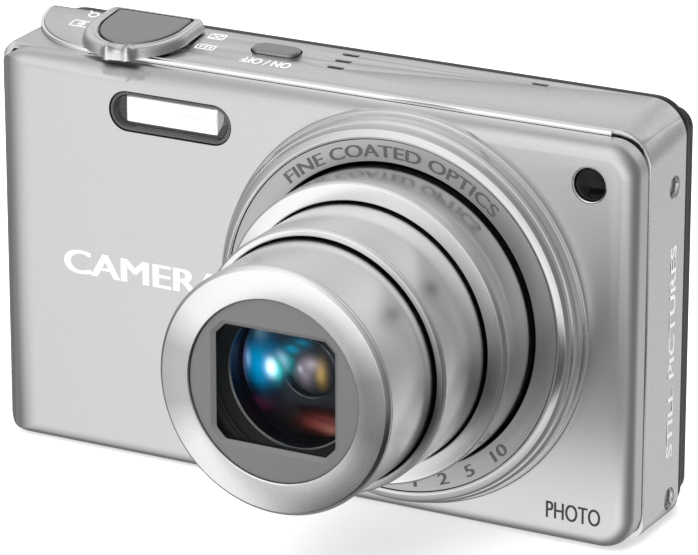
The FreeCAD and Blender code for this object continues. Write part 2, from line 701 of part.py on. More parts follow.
def case_screws():
    """Cross-head screws: two in the right side, three in the bottom."""
    screws = []
    for y, z in SIDE_SCREWS:
        head = rod_x(y, z, 1.52, HALF_WIDTH - 0.65, HALF_WIDTH - 0.1)
        head = head.cut(cross_slot(Vec(HALF_WIDTH - 0.1, y, z), Vec(1, 0, 0), 1.9, 0.4))
        screws.append(head)
    for x in BOTTOM_SCREWS_X:
        head = rod_z(x, 3.4, 1.22, 0.12, 0.65)
        head = head.cut(cross_slot(Vec(x, 3.4, 0.12), Vec(0, 0, -1), 1.6, 0.35))
        screws.append(head)
    return screws


def strap_lug():
    cup = block((-48.65, -45.2), (-2.0, 4.0), (39.2, 47.8))
    cup = cup.cut(block((-50, -46.0), (-1.2, 3.2), (40.0, 47.0)))
    return cup.fuse(rod_z(-48.5, 1.0, 0.7, 40.0, 47.0))


# ---------------------------------------------------------------- controls
def zoom_lever():
    """A collar round the shutter button, rounded in front and square behind, with a ribbed tab at the front."""
    wires = []
    for z, shrink in ((LEVER_BOTTOM, 0.0), (LEVER_TOP - 0.35, 0.25), (LEVER_TOP, 0.55)):
        radius = LEVER_R - shrink
        arc = Part.Arc(Vec(-radius, 0, z), Vec(0, -radius, z), Vec(radius, 0, z)).toShape()
        path = [Vec(radius, 0, z), Vec(radius, LEVER_REAR, z), Vec(-radius, LEVER_REAR, z), Vec(-radius, 0, z)]
        lines = [Part.LineSegment(a, b).toShape() for a, b in zip(path[:-1], path[1:])]
        wires.append(Part.Wire([arc] + lines))
    collar = Part.makeLoft(wires, True, True)
    corner_x = LEVER_R - LEVER_CORNER_R
    corner_y = LEVER_REAR - LEVER_CORNER_R
    for side in (-1, 1):
        corner = block(sorted((side * corner_x, side * (LEVER_R + 1))), (corner_y, LEVER_REAR + 1), (-1, 4))
        corner = corner.cut(rod_z(side * corner_x, corner_y, LEVER_CORNER_R, -2, 5))
        collar = collar.cut(corner)
    tab = plate_xy((TAB_X - 3.2, TAB_X + 3.2), (-8.8, -6.35), 0.8, LEVER_BOTTOM, LEVER_TOP + 0.45)
    tab = tab.cut(rod_y(TAB_X, LEVER_TOP + 1.1, 1.2, -12, 0))
    collar = collar.fuse(tab).cut(key_outline(GAP, -1, 4))
    bridge_half = KEY_HALF_WIDTH + GAP
    above_bridge = block((-bridge_half, bridge_half), (KEY_REAR - 1, LEVER_REAR + 1), (LEVER_BRIDGE_TOP, 4))
    return on_deck(collar.cut(above_bridge), LEVER_X, LEVER_Y)


def shutter_button():
    cap = key_outline(0, KEY_BOTTOM, LEVER_TOP)
    return on_deck(cap.fuse(rod_z(0, 0, STEM_R, STEM_BOTTOM, KEY_BOTTOM)), LEVER_X, LEVER_Y)


def shutter_cup():
    cup = rod_z(0, 0, 7.2, -3.6, -BAND_WALL - THIN_GAP)
    cup = cup.cut(rod_z(0, 0, 6.4, -2.4, 0)).cut(rod_z(0, 0, 1.6, -5, 0))
    cup = cup.cut(block((-10, 10), (5.7, 10), (-9, 3))).cut(block((-10, 10), (-10, -4.6), (-9, 3)))
    return on_deck(cup, LEVER_X, LEVER_Y)


def tact_switches():
    """The two press switches under the shutter button and the power button."""
    shutter = block((-2.6, 2.6), (-2.6, 2.6), (-5.6, -4.4)).fuse(rod_z(0, 0, 1.3, -4.4, -4.1))
    power = block((-1.8, 1.8), (-1.5, 1.5), (-4.2, -3.0)).fuse(rod_z(0, 0, 0.9, -3.0, -2.7))
    return [on_deck(shutter, LEVER_X, LEVER_Y), on_deck(power, POWER_X, POWER_Y)]


def power_button():
    cap = pill(POWER_LENGTH, POWER_WIDTH, -1.3, POWER_RAISE)
    flange = pill(POWER_LENGTH + 1.2, POWER_WIDTH + 1.2, -1.9, -1.5)
    return on_deck(cap.fuse(flange).fuse(pill(POWER_LENGTH, POWER_WIDTH, -1.6, -1.2)), POWER_X, POWER_Y)


def pad_ring():
    ring = tube_y(PAD_X, PAD_Z, PAD_R, 3.4, 8.75, 10.5)
    return ring.cut(tube_y(PAD_X, PAD_Z, 6.9, 4.6, 10.2, 11))


def key_board():
    """The board behind the rear buttons, with a snap dome under each button and pad end."""
    board = block((-46.2, -15.4), (6.6, 7.3), (4.0, 53.0))
    places = list(REAR_BUTTONS.values()) + [(PAD_X, PAD_Z)]
    for quarter in range(4):
        angle = math.radians(90 * quarter)
        places.append((PAD_X + 7.2 * math.cos(angle), PAD_Z + 7.2 * math.sin(angle)))
    for x, z in places:
        board = board.fuse(rod_y(x, z, 1.5, 7.2, 7.55))
    return board


def image_sensor():
    chip = block((LENS_X - 5.5, LENS_X + 5.5), (3.3, 4.6), (LENS_Z - 4.5, LENS_Z + 4.5))
    board = block((LENS_X - 11, LENS_X + 11), (4.45, 5.2), (LENS_Z - 9, LENS_Z + 9))
    return chip.fuse(board)


def inner_parts():
    """Everything between the shells that only has to be in its place."""
    flash_x = (FLASH_X[0] + 0.1, FLASH_X[1] - 0.1)
    flash_z = (FLASH_Z[0] + 0.1, FLASH_Z[1] - 0.1)
    panel_x = (SCREEN_X[0] + 0.4, SCREEN_X[1] - 0.4)
    panel_z = (SCREEN_Z[0] + 0.4, SCREEN_Z[1] - 0.4)
    glass_x = (SCREEN_X[0] + THIN_GAP, SCREEN_X[1] - THIN_GAP)
    glass_z = (SCREEN_Z[0] + THIN_GAP, SCREEN_Z[1] - THIN_GAP)
    window_r = (flash_z[1] - flash_z[0]) / 2 - 0.01
    capacitor_y = 1.4
    return {
        "flash_window": [plate_xz(flash_x, flash_z, same_radii(window_r), FRONT_Y + 0.15, FRONT_Y + 1.05)],
        "flash_reflector": [flash_reflector()],
        "xenon_tube": [rod_x(-7.4, 50.67, 0.8, -28.6, -11.2)],
        "flash_capacitor": [rod_x(capacitor_y, 49.0, CAPACITOR_R, *CAPACITOR_X)],
        "af_lamp_lens": [af_lamp()],
        "battery": [plate_xy(BATTERY_X, BATTERY_Y, 1.2, *BATTERY_Z)],
        "memory_card": [block(CARD_X, CARD_Y, CARD_Z)],
        "main_board": [block((-13.8, 46.0), (5.5, 6.3), (3.4, 54.4))],
        "screen_panel": [block(panel_x, (6.9, 9.3), panel_z)],
        "screen_window": [plate_xz(glass_x, glass_z, same_radii(0.75), 9.4, REAR_Y - 0.05)],
        "key_board": [key_board()],
        "speaker": [rod_z(SPEAKER_X, 1.0, 4.3, 52.9, 55.4)],
        "microphone": [rod_z(MICROPHONE_X, 2.8, 2.0, 53.4, 55.6)],
        "hinge_pin": [rod_x(DOOR_Y[1], DOOR_HINGE_Z, HINGE_PIN_R, -43.9, DOOR_X[1] + 1.1)],
        "zoom_motor": [rod_y(MOTOR_X, MOTOR_Z, 3.0, -5.9, 2.6).fuse(rod_y(MOTOR_X, MOTOR_Z, 0.4, -8.2, -5.8))],
        "focus_lens": [lens_rod(4.9, 2.1, 3.0)],
        "image_sensor": [image_sensor()],
    }


def build():
    os.makedirs("parts", exist_ok=True)
    save("front_cover", front_cover())
    save("deck_trim", deck_trim())
    save("top_plate", top_plate())
    save("side_band", side_band())
    save("rear_cover", rear_cover())
    save("thumb_rest", thumb_rest())
    save("lens_bezel", lens_bezel())
    save("lens_ring", lens_ring())
    save("lens_housing", lens_housing())
    stage_1_y = (STAGE_1_FRONT_Y, STAGE_1_REAR_Y)
    stage_2_y = (STAGE_2_FRONT_Y, STAGE_2_REAR_Y)
    save("barrel_stage_1", barrel(STAGE_1_R, STAGE_1_R - 1.1, STAGE_2_R + GAP, *stage_1_y))
    save("barrel_stage_2", barrel(STAGE_2_R, STAGE_2_R - 1.0, STAGE_3_R + GAP, *stage_2_y))
    save("barrel_stage_3", lens_tube(STAGE_3_R, STAGE_3_R - 1.1, STAGE_3_FRONT_Y + 0.85, STAGE_3_REAR_Y))
    save("front_ring", front_ring())
    save("aperture_plate", aperture_plate())
    save("barrier_leaf_top_outer", barrier_leaf(1, 0))
    save("barrier_leaf_top_inner", barrier_leaf(1, 1))
    save("barrier_leaf_bottom_outer", barrier_leaf(-1, 0))
    save("barrier_leaf_bottom_inner", barrier_leaf(-1, 1))
    save("front_lens", front_lens())
    save("front_lens_holder", front_lens_holder())
    save("second_group_holder", second_group_holder())
    save("second_lens", second_lens())
    save("motor_pinion", gear(MOTOR_X, MOTOR_Z, 1.0, 1.5, 9, 0.45, -8.2, -6.7))
    save("reduction_gear", gear(GEAR_X, GEAR_Z, 1.7, 2.2, 16, GEAR_SHAFT_R + THIN_GAP, -8.2, -6.7))
    save("battery_chamber", battery_chamber())
    save("battery_door", battery_door())
    save("door_latch", door_latch())
    save("tripod_bush", tripod_bush())
    save("av_socket", av_socket())
    save("case_screws", *case_screws())
    save("strap_lug", strap_lug())
    save("zoom_lever", zoom_lever())
    save("shutter_button", shutter_button())
    save("shutter_cup", shutter_cup())
    save("tact_switches", *tact_switches())
    save("power_button", power_button())
    save("pad_ring", pad_ring())
    save("pad_pivot", tube_y(PAD_X, PAD_Z, 5.5, 3.9, 7.9, 8.35))
    save("ok_button", rod_y(PAD_X, PAD_Z, 3.0, BUTTON_FRONT_Y, BUTTON_REAR_Y))
    for name, (x, z) in REAR_BUTTONS.items():
        save(name, rod_y(x, z, REAR_BUTTON_R, BUTTON_FRONT_Y, BUTTON_REAR_Y))
    for name, solids in inner_parts().items():
        save(name, *solids)


build()
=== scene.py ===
import json
import math

import bmesh
import bpy
from mathutils import Matrix, Vector

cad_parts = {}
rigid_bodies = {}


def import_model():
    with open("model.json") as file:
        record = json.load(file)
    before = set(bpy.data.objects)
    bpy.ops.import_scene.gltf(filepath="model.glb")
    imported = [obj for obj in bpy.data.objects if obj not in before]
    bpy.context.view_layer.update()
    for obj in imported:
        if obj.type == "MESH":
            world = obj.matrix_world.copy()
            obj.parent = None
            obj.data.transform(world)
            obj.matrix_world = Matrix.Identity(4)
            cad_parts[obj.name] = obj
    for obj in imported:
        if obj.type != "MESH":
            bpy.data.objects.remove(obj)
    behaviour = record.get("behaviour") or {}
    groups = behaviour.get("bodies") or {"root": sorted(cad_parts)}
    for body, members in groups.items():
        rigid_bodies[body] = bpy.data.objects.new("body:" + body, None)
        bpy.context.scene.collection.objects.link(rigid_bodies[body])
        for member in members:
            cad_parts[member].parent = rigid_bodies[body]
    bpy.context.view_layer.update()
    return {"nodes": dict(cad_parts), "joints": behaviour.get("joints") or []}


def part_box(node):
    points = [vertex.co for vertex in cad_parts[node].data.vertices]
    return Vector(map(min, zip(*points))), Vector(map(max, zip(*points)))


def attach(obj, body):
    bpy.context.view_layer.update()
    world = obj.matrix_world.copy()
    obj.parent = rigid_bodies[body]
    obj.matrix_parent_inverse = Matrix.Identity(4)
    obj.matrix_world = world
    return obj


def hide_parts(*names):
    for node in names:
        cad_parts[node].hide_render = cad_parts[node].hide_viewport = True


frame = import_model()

# A compact zoom camera: its finishes, its fine parts, and the studio it stands in.
# Lengths are in millimetres in a piece's own place, and a place sets them in the row frame in metres.
MM = 0.001
TURN = 2 * math.pi


# ---------------------------------------------------------------- places
def middle(node):
    low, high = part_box(node)
    return (low + high) / 2


def joint(name):
    return next(j for j in frame["joints"] if j["name"] == name)


def place(origin, right, up):
    """From local millimetres to the row frame: X right, Y up, Z out of the surface."""
    right = Vector(right).normalized()
    up = Vector(up).normalized()
    axes = Matrix((right, up, right.cross(up))).transposed().to_4x4()
    return Matrix.Translation(Vector(origin)) @ axes @ Matrix.Scale(MM, 4)


LENS_X = middle("lens_bezel").x / MM
LENS_Z = middle("lens_bezel").z / MM
FRONT_Y = -10.3
DECK_UP = Vector(joint("zoom_lever_turn")["axis"])
DECK_BACK = Vector((1, 0, 0)).cross(DECK_UP) * -1
LEVER_AT = Vector(joint("zoom_lever_turn")["pos_m"])


def on_deck(x, y, reading_from_behind=False):
    """A place on the sloping deck; Y runs to the rear, or to the front if it is read from behind."""
    back = -DECK_BACK if DECK_BACK.y < 0 else DECK_BACK
    along = (Vector((x * MM, y * MM, 0)) - LEVER_AT)
    origin = LEVER_AT + Vector((along.x, 0, 0)) + back * (along.y / back.y)
    if reading_from_behind:
        return place(origin, (-1, 0, 0), -back)
    return place(origin, (1, 0, 0), back)


LENS = place((LENS_X * MM, 0, LENS_Z * MM), (1, 0, 0), (0, 0, 1))
FACE = place((0, 0, 0), (1, 0, 0), (0, 0, 1))
BACK = place((0, 0, 0), (-1, 0, 0), (0, 0, 1))


# ---------------------------------------------------------------- finishes
class Finish:
    """A procedural material, made up from Object coordinates."""

    def __init__(self, name, **shader):
        self.material = bpy.data.materials.new(name)
        self.material.use_nodes = True
        self.tree = self.material.node_tree
        self.shader = next(n for n in self.tree.nodes if n.type == "BSDF_PRINCIPLED")
        for socket, value in shader.items():
            self.shader.inputs[socket.replace("_", " ")].default_value = value
        self.where = self.node("ShaderNodeTexCoord").outputs["Object"]

    def node(self, kind, inputs=(), **settings):
        made = self.tree.nodes.new(kind)
        for key, value in settings.items():
            setattr(made, key, value)
        for key, value in dict(inputs).items():
            if isinstance(value, bpy.types.NodeSocket):
                self.tree.links.new(value, made.inputs[key])
            else:
                made.inputs[key].default_value = value
        return made

    def scaled(self, x, y, z, at=(0, 0, 0)):
        """Object coordinates in millimetres, centred on a point and stretched per axis."""
        scale = (x / MM, y / MM, z / MM)
        shift = tuple(-c * s for c, s in zip(at, scale))
        return self.node("ShaderNodeMapping", {"Vector": self.where, "Location": shift,
            "Scale": scale}).outputs[0]

    def noise(self, vector, scale=1.0, detail=2.0, roughness=0.5):
        inputs = {"Vector": vector, "Scale": scale, "Detail": detail, "Roughness": roughness}
        return self.node("ShaderNodeTexNoise", inputs).outputs["Fac"]

    def ramp(self, factor, *stops):
        made = self.node("ShaderNodeValToRGB", {"Fac": factor})
        elements = made.color_ramp.elements
        while len(elements) < len(stops):
            elements.new(1.0)
        for element, (position, colour) in zip(elements, stops):
            element.position = position
            element.color = (*colour, 1) if len(colour) == 3 else colour
        return made.outputs["Color"]

    def rescale(self, value, low, high):
        return self.node("ShaderNodeMapRange", {"Value": value, "To Min": low,
            "To Max": high}).outputs["Result"]

    def math(self, operation, a, b=0.0):
        return self.node("ShaderNodeMath", {0: a, 1: b}, operation=operation).outputs[0]

    def bump(self, height, strength, distance):
        inputs = {"Height": height, "Strength": strength, "Distance": distance * MM}
        normal = self.node("ShaderNodeBump", inputs).outputs[0]
        self.tree.links.new(normal, self.shader.inputs["Normal"])

    def feed(self, socket, value):
        self.tree.links.new(value, self.shader.inputs[socket])

    def from_axis(self):
        """The distance from the lens axis in millimetres, and the vector from it."""
        flat = self.scaled(1, 0, 1, (LENS_X * MM, 0, LENS_Z * MM))
        return self.node("ShaderNodeVectorMath", {0: flat}, operation="LENGTH").outputs["Value"], flat


def tone(value, tint=(1, 1, 1)):
    return tuple(value * t for t in tint)


def mottled(finish, low, high, vector=None, scale=1.0, detail=3.0):
    """Colour that wanders between two tones."""
    grain = finish.noise(vector or finish.scaled(1, 1, 1), scale, detail)
    finish.feed("Base Color", finish.ramp(grain, (0.3, low), (0.7, high)))
    return grain


def grained_metal(name, low, high, rough, grain=6.0, relief=0.25, metallic=1.0, **shader):
    """Bead-blasted metal: a fine grain in the colour, the gloss and the surface."""
    finish = Finish(name, Metallic=metallic, **shader)
    fine = finish.noise(finish.scaled(1, 1, 1), grain, 4.0, 0.6)
    finish.feed("Base Color", finish.ramp(fine, (0.32, low), (0.68, high)))
    broad = finish.noise(finish.scaled(1, 1, 1), 0.08, 2.0)
    finish.feed("Roughness", finish.rescale(broad, rough - 0.02, rough + 0.02))
    finish.bump(fine, relief, 0.01)
    return finish.material


def turned_metal(name, low, high, rough, pitch=9.0, along=0.0, relief=0.2, anisotropy=0.7, metallic=1.0,
        painted_side_shade=0.0):
    """Lathe-turned metal: fine rings about the lens axis, by radius and by depth; its last argument paints shade
    into the colour to the left and right of the axis, standing in for the dark sides of a brushed sheen."""
    finish = Finish(name, Metallic=metallic, Anisotropic=anisotropy)
    radius, flat = finish.from_axis()
    depth = finish.node("ShaderNodeSeparateXYZ", {0: finish.scaled(1, 1, 1)}).outputs["Y"]
    lines = finish.math("ADD", finish.math("MULTIPLY", radius, pitch), finish.math("MULTIPLY", depth,
        along))
    rings = finish.node("ShaderNodeTexNoise", {"W": lines, "Scale": 1.0, "Detail": 3.0},
        noise_dimensions="1D").outputs["Fac"]
    colour = finish.ramp(rings, (0.3, low), (0.7, high))
    # Painted shade: the colour darkens to the left and right of the lens axis, so the top and bottom read as a
    # painted sheen.
    if painted_side_shade:
        parts = finish.node("ShaderNodeSeparateXYZ", {0: flat})
        height = finish.math("ABSOLUTE", finish.math("DIVIDE", parts.outputs["Z"], radius))
        painted_sheen_fan = finish.ramp(height, (0.25, tone(1 - painted_side_shade)), (0.62, tone(0.92)), (0.95, tone(1.0)))
        colour = finish.node("ShaderNodeVectorMath", {0: colour, 1: painted_sheen_fan},
            operation="MULTIPLY").outputs["Vector"]
    finish.feed("Base Color", colour)
    finish.feed("Roughness", finish.rescale(rings, rough - 0.04, rough + 0.04))
    finish.bump(rings, relief, 0.004)
    tangent = finish.node("ShaderNodeTangent", direction_type="RADIAL", axis="Y")
    finish.feed("Tangent", tangent.outputs[0])
    return finish.material


def moulded(name, low, high, rough, grain=4.0, relief=0.2, **shader):
    """Moulded plastic or paint: two close tones and a fine skin."""
    finish = Finish(name, **shader)
    fine = mottled(finish, low, high, scale=grain)
    finish.feed("Roughness", finish.rescale(fine, rough - 0.03, rough + 0.03))
    finish.bump(fine, relief, 0.01)
    return finish.material


def see_through(name, tint, gloss_tint, share, rough=0.02):
    """A clear pane with a weak reflection that grows at a low angle."""
    finish = Finish(name)
    haze = finish.noise(finish.scaled(1, 1, 1), 0.12, 1.0)
    clear = finish.node("ShaderNodeBsdfTransparent",
        {"Color": finish.ramp(haze, (0.3, tone(0.96, tint)), (0.7, tint))})
    gloss = finish.node("ShaderNodeBsdfGlossy", {"Color": (*gloss_tint, 1), "Roughness": rough})
    facing = finish.node("ShaderNodeLayerWeight", {"Blend": 0.35}).outputs["Fresnel"]
    amount = finish.rescale(facing, share, share + 0.12)
    mixed = finish.node("ShaderNodeMixShader", {0: amount, 1: clear.outputs[0], 2: gloss.outputs[0]})
    out = next(n for n in finish.tree.nodes if n.type == "OUTPUT_MATERIAL")
    finish.tree.links.new(mixed.outputs[0], out.inputs["Surface"])
    return finish.material


def glass_with_painted_reflections(name, ground, cover, spots):
    """An element with painted reflections and highlights: soft patches of colour, placed by (x, z) from the lens
    axis, that stand in for light caught in the coating and glow faintly. Each patch is (x, z, half width, half
    height, colour, strength); cover is how much the bare coating hides."""
    finish = Finish(name, Roughness=0.12, Specular_IOR_Level=0.08)
    wander = finish.noise(finish.scaled(1, 1, 1), 0.35, 2.0)
    drift = finish.rescale(wander, -0.35, 0.35)
    colour, cloak = None, None
    # Each spot is a painted reflection or painted highlight, not a colour held in the glass.
    for x, z, wide, tall, hue, strength in spots:
        local = finish.scaled(1 / wide, 0, 1 / tall, ((LENS_X + x) * MM, 0, (LENS_Z + z) * MM))
        far = finish.node("ShaderNodeVectorMath", {0: local, 1: local},
            operation="DOT_PRODUCT").outputs["Value"]
        fall = finish.math("EXPONENT", finish.math("MULTIPLY", finish.math("ADD", far, drift), -1.0))
        glow = finish.math("MULTIPLY", fall, strength)
        patch = finish.node("ShaderNodeVectorMath", {0: hue, "Scale": glow},
            operation="SCALE").outputs["Vector"]
        colour = patch if colour is None else finish.node("ShaderNodeVectorMath", {0: colour, 1: patch},
            operation="ADD").outputs["Vector"]
        cloak = glow if cloak is None else finish.math("ADD", cloak, glow)
    base = finish.node("ShaderNodeVectorMath", {0: colour, 1: ground}, operation="ADD").outputs["Vector"]
    finish.feed("Base Color", base)
    # Painted glow: the patches emit their own colour, though the element is no lamp.
    finish.feed("Emission Color", base)
    finish.shader.inputs["Emission Strength"].default_value = 0.25
    clear = finish.node("ShaderNodeBsdfTransparent")
    amount = finish.node("ShaderNodeMath", {0: cloak, 1: cover}, operation="ADD", use_clamp=True).outputs[0]
    mixed = finish.node("ShaderNodeMixShader", {0: amount, 1: clear.outputs[0],
        2: finish.shader.outputs[0]})
    out = next(n for n in finish.tree.nodes if n.type == "OUTPUT_MATERIAL")
    finish.tree.links.new(mixed.outputs[0], out.inputs["Surface"])
    return finish.material


def circuit_board():
    finish = Finish("circuit_board", Roughness=0.45)
    cells = finish.node("ShaderNodeTexVoronoi", {"Vector": finish.scaled(0.6, 0.6, 0.6), "Scale": 1.0},
        distance="CHEBYCHEV")
    track = finish.ramp(cells.outputs["Distance"], (0.42, (0.01, 0.12, 0.05)), (0.5, (0.03, 0.22, 0.09)))
    finish.feed("Base Color", track)
    finish.bump(cells.outputs["Distance"], 0.2, 0.05)
    return finish.material


def printed_ink(name, colour, rough=0.5):
    finish = Finish(name)
    mottled(finish, tone(0.92, colour), colour, scale=9.0)
    finish.shader.inputs["Roughness"].default_value = rough
    return finish.material


FINISHES = {
    "cover": grained_metal("blasted_silver", tone(0.62), tone(0.68), 0.34, relief=0.10),
    "band": grained_metal("satin_silver", tone(0.64), tone(0.70), 0.24, grain=3.0, relief=0.05),
    "trim": grained_metal("polished_edge", tone(0.88), tone(0.95), 0.10, grain=2.0, relief=0.02),
    "barrel": turned_metal("turned_barrel", tone(0.70), tone(0.78), 0.24, pitch=0.0, along=7.0,
    relief=0.10),
    # The rim finish has painted shade to the left and right of the lens axis, a painted sheen above and below it.
    "rim": turned_metal("turned_rim_painted_sheen", tone(0.90), tone(0.96), 0.28, relief=0.08, anisotropy=0.7,
    painted_side_shade=0.5),
    "collar": turned_metal("turned_collar", tone(0.68), tone(0.76), 0.20, relief=0.08, anisotropy=0.4),
    "scale_ring": turned_metal("brushed_scale_ring", tone(0.42), tone(0.50), 0.34, relief=0.12,
    anisotropy=0.6),
    "aperture": moulded("aperture_paint", tone(0.165), tone(0.175), 0.5, relief=0.02, Metallic=0.3),
    "lever": grained_metal("polished_lever", tone(0.66), tone(0.72), 0.15, grain=3.0, relief=0.03),
    "button": grained_metal("satin_button", tone(0.30), tone(0.34), 0.30, grain=8.0, relief=0.08),
    "leaf": moulded("leaf_enamel", tone(0.012), tone(0.02), 0.3),
    "inner": moulded("matt_black", tone(0.006), tone(0.012), 0.55),
    "rear": moulded("gloss_black", tone(0.004), tone(0.007), 0.2, grain=1.0, relief=0.03,
    Specular_IOR_Level=0.12),
    "rear_key": moulded("satin_black", tone(0.02), tone(0.035), 0.3, relief=0.05),
    "grip": moulded("rubber_black", tone(0.02), tone(0.03), 0.7, relief=0.4),
    "steel": grained_metal("plated_steel", tone(0.42), tone(0.52), 0.25, grain=3.0, relief=0.05),
    "board": circuit_board(),
    "cell": moulded("cell_wrap", (0.02, 0.06, 0.2), (0.03, 0.08, 0.26), 0.4, relief=0.05),
    "gear": moulded("nylon_white", tone(0.68), tone(0.75), 0.45, relief=0.05),
    "lamp": moulded("smoked_lamp", tone(0.002), tone(0.004), 0.12, relief=0.0, Specular_IOR_Level=0.2),
    "screen": moulded("screen_black", (0.006, 0.007, 0.01), (0.01, 0.011, 0.015), 0.05, relief=0.0),
    "ink_dark": printed_ink("slate_ink", tone(0.045, (0.9, 0.95, 1.05)), 0.7),
    "ink_grey": printed_ink("grey_ink", tone(0.11)),
    "ink_white": printed_ink("white_ink", tone(0.85)),
    "flash_pane": see_through("flash_pane", (1, 1, 1), tone(1.0), 0.03, 0.08),
    "flash_rim": moulded("smoked_rim", tone(0.08), tone(0.12), 0.25, relief=0.05, Metallic=0.6),
    # The flash mirror glows a little: painted brightness, though it is no lamp.
    "mirror": moulded("flash_mirror_painted_glow", tone(0.9), tone(0.97), 0.2, grain=2.0, relief=0.1, Metallic=0.3,
                      Emission_Color=(1, 1, 1, 1), Emission_Strength=0.3),
    "front_glass": see_through("front_glass", (0.97, 0.98, 1.0), (0.5, 0.6, 0.75), 0.004),
    # The blue and amber glass hold painted reflections and painted highlights in their colour patches, which also
    # glow faintly.
    "blue_glass_painted_reflections": glass_with_painted_reflections("blue_glass_painted_reflections", (0.001, 0.001, 0.002), 0.05, (
        (-6.1, 0.9, 2.7, 3.0, (0.0, 0.30, 0.58), 1.0), (-6.6, -0.9, 2.8, 2.3, (0.0, 0.10, 0.22), 0.8),
        (-3.9, 0.6, 0.85, 1.1, (0.8, 1.0, 1.0), 1.5), (-2.7, 0.6, 1.0, 1.6, (0.0, 0.36, 0.30), 1.0),
        (-8.1, 0.6, 0.5, 1.1, (0.35, 0.5, 0.75), 0.8), (-0.7, 3.6, 1.6, 0.8, (0.0, 0.22, 0.34), 0.9),
        (-6.4, 5.3, 1.4, 1.6, (0.30, 0.38, 0.42), 0.6), (-9.3, 0.0, 0.8, 5.0, (0.16, 0.02, 0.07), 0.8),
        (-6.4, -5.4, 2.6, 1.2, (0.12, 0.015, 0.05), 0.6), (2.4, -6.6, 3.0, 1.5, (0.26, 0.06, 0.05), 0.9),
        (4.2, -7.2, 1.5, 1.0, (0.45, 0.2, 0.16), 0.7))),
    "amber_glass_painted_highlights": glass_with_painted_reflections("amber_glass_painted_highlights", (0.01, 0.01, 0.012), 0.95, (
        (-1.0, -0.4, 1.4, 2.0, (0.42, 0.34, 0.38), 1.0), (-2.6, -0.4, 0.7, 1.2, (0.16, 0.30, 0.30), 0.9),
        (1.5, -0.6, 0.7, 1.6, (0.60, 0.38, 0.08), 1.0), (-1.6, -0.4, 0.45, 0.55, (0.9, 0.85, 0.9), 0.8),
        (0.2, 0.6, 1.0, 0.8, (0.70, 0.60, 0.60), 0.7))),
}


# ---------------------------------------------------------------- meshes
def skin(sections, wrap=True, ring=True, capped=False):
    """Quads between sections of equal length. ring closes each section, wrap joins the last to the first,
    capped fills the two end sections."""
    mesh = bmesh.new()
    rows = [[mesh.verts.new(p) for p in section] for section in sections]
    across = len(rows[0]) if ring else len(rows[0]) - 1
    down = len(rows) if wrap else len(rows) - 1
    for i in range(down):
        a, b = rows[i], rows[(i + 1) % len(rows)]
        for j in range(across):
            k = (j + 1) % len(a)
            mesh.faces.new((a[j], a[k], b[k], b[j]))
    if capped:
        mesh.faces.new(rows[0])
        mesh.faces.new(rows[-1])
    bmesh.ops.remove_doubles(mesh, verts=mesh.verts, dist=1e-5)
    bmesh.ops.recalc_face_normals(mesh, faces=mesh.faces)
    made = bpy.data.meshes.new("skin")
    mesh.to_mesh(made)
    mesh.free()
    return made


def eased_outline(corners, steps=3):
    """A closed outline of (a, b, radius) corners with each corner rounded to its radius."""
    points = []
    count = len(corners)
    for i, (a, b, radius) in enumerate(corners):
        here = Vector((a, b))
        before = Vector(corners[i - 1][:2]) - here
        after = Vector(corners[(i + 1) % count][:2]) - here
        if radius <= 0:
            points.append((a, b))
            continue
        half = before.angle(after) / 2
        reach = min(radius / math.tan(half), before.length * 0.49, after.length * 0.49)
        start = here + before.normalized() * reach
        end = here + after.normalized() * reach
        for step in range(steps + 1):
            t = step / steps
            points.append(tuple(start.lerp(here, t).lerp(here.lerp(end, t), t)))
    return points


def turned(corners, segments=180):
    """A closed outline of (radius, height, corner radius), turned about local Z."""
    outline = eased_outline(corners)
    sections = []
    for i in range(segments):
        angle = TURN * i / segments
        sections.append([(r * math.cos(angle), r * math.sin(angle), h) for r, h in outline])
    return skin(sections)


def domed(radius, rear, edge, front, segments=96, rings=14):
    """A lens: a flat back at height rear, a cylinder to height edge, and a dome up to height front."""
    rise = front - edge
    ball = (radius * radius + rise * rise) / (2 * rise)
    outline = [(0.0, rear), (radius - 0.1, rear), (radius, rear + 0.1)]
    for step in range(rings + 1):
        r = radius * (1 - step / rings)
        outline.append((r, front - ball + math.sqrt(ball * ball - r * r)))
    sections = []
    for i in range(segments):
        angle = TURN * i / segments
        sections.append([(r * math.cos(angle), r * math.sin(angle), h) for r, h in outline])
    return skin(sections, ring=False)


def offset(outline, distance):
    """Moves a counter-clockwise outline inwards by a distance."""
    moved = []
    count = len(outline)
    for i in range(count):
        a, b, c = (Vector(outline[(i + k) % count]) for k in (-1, 0, 1))
        along = (b - a).normalized() + (c - b).normalized()
        inward = Vector((-along.y, along.x)).normalized()
        moved.append(tuple(b + inward * distance))
    return moved


def rounded_box(width, height, radius, steps=10):
    """A counter-clockwise rounded rectangle about the origin."""
    w, h = width / 2, height / 2
    corners = [(-w, -h), (w, -h), (w, h), (-w, h)]
    return eased_arc_outline([(x, y, radius) for x, y in corners], steps)


def eased_arc_outline(corners, steps=10):
    """As eased_outline, with true quarter arcs at square corners."""
    points = []
    count = len(corners)
    for i, (a, b, radius) in enumerate(corners):
        here = Vector((a, b))
        before = (Vector(corners[i - 1][:2]) - here).normalized()
        after = (Vector(corners[(i + 1) % count][:2]) - here).normalized()
        centre = here + (before + after) * radius
        for step in range(steps + 1):
            t = math.pi / 2 * step / steps
            points.append(tuple(centre - after * radius * math.cos(t) - before * radius * math.sin(t)))
    return points


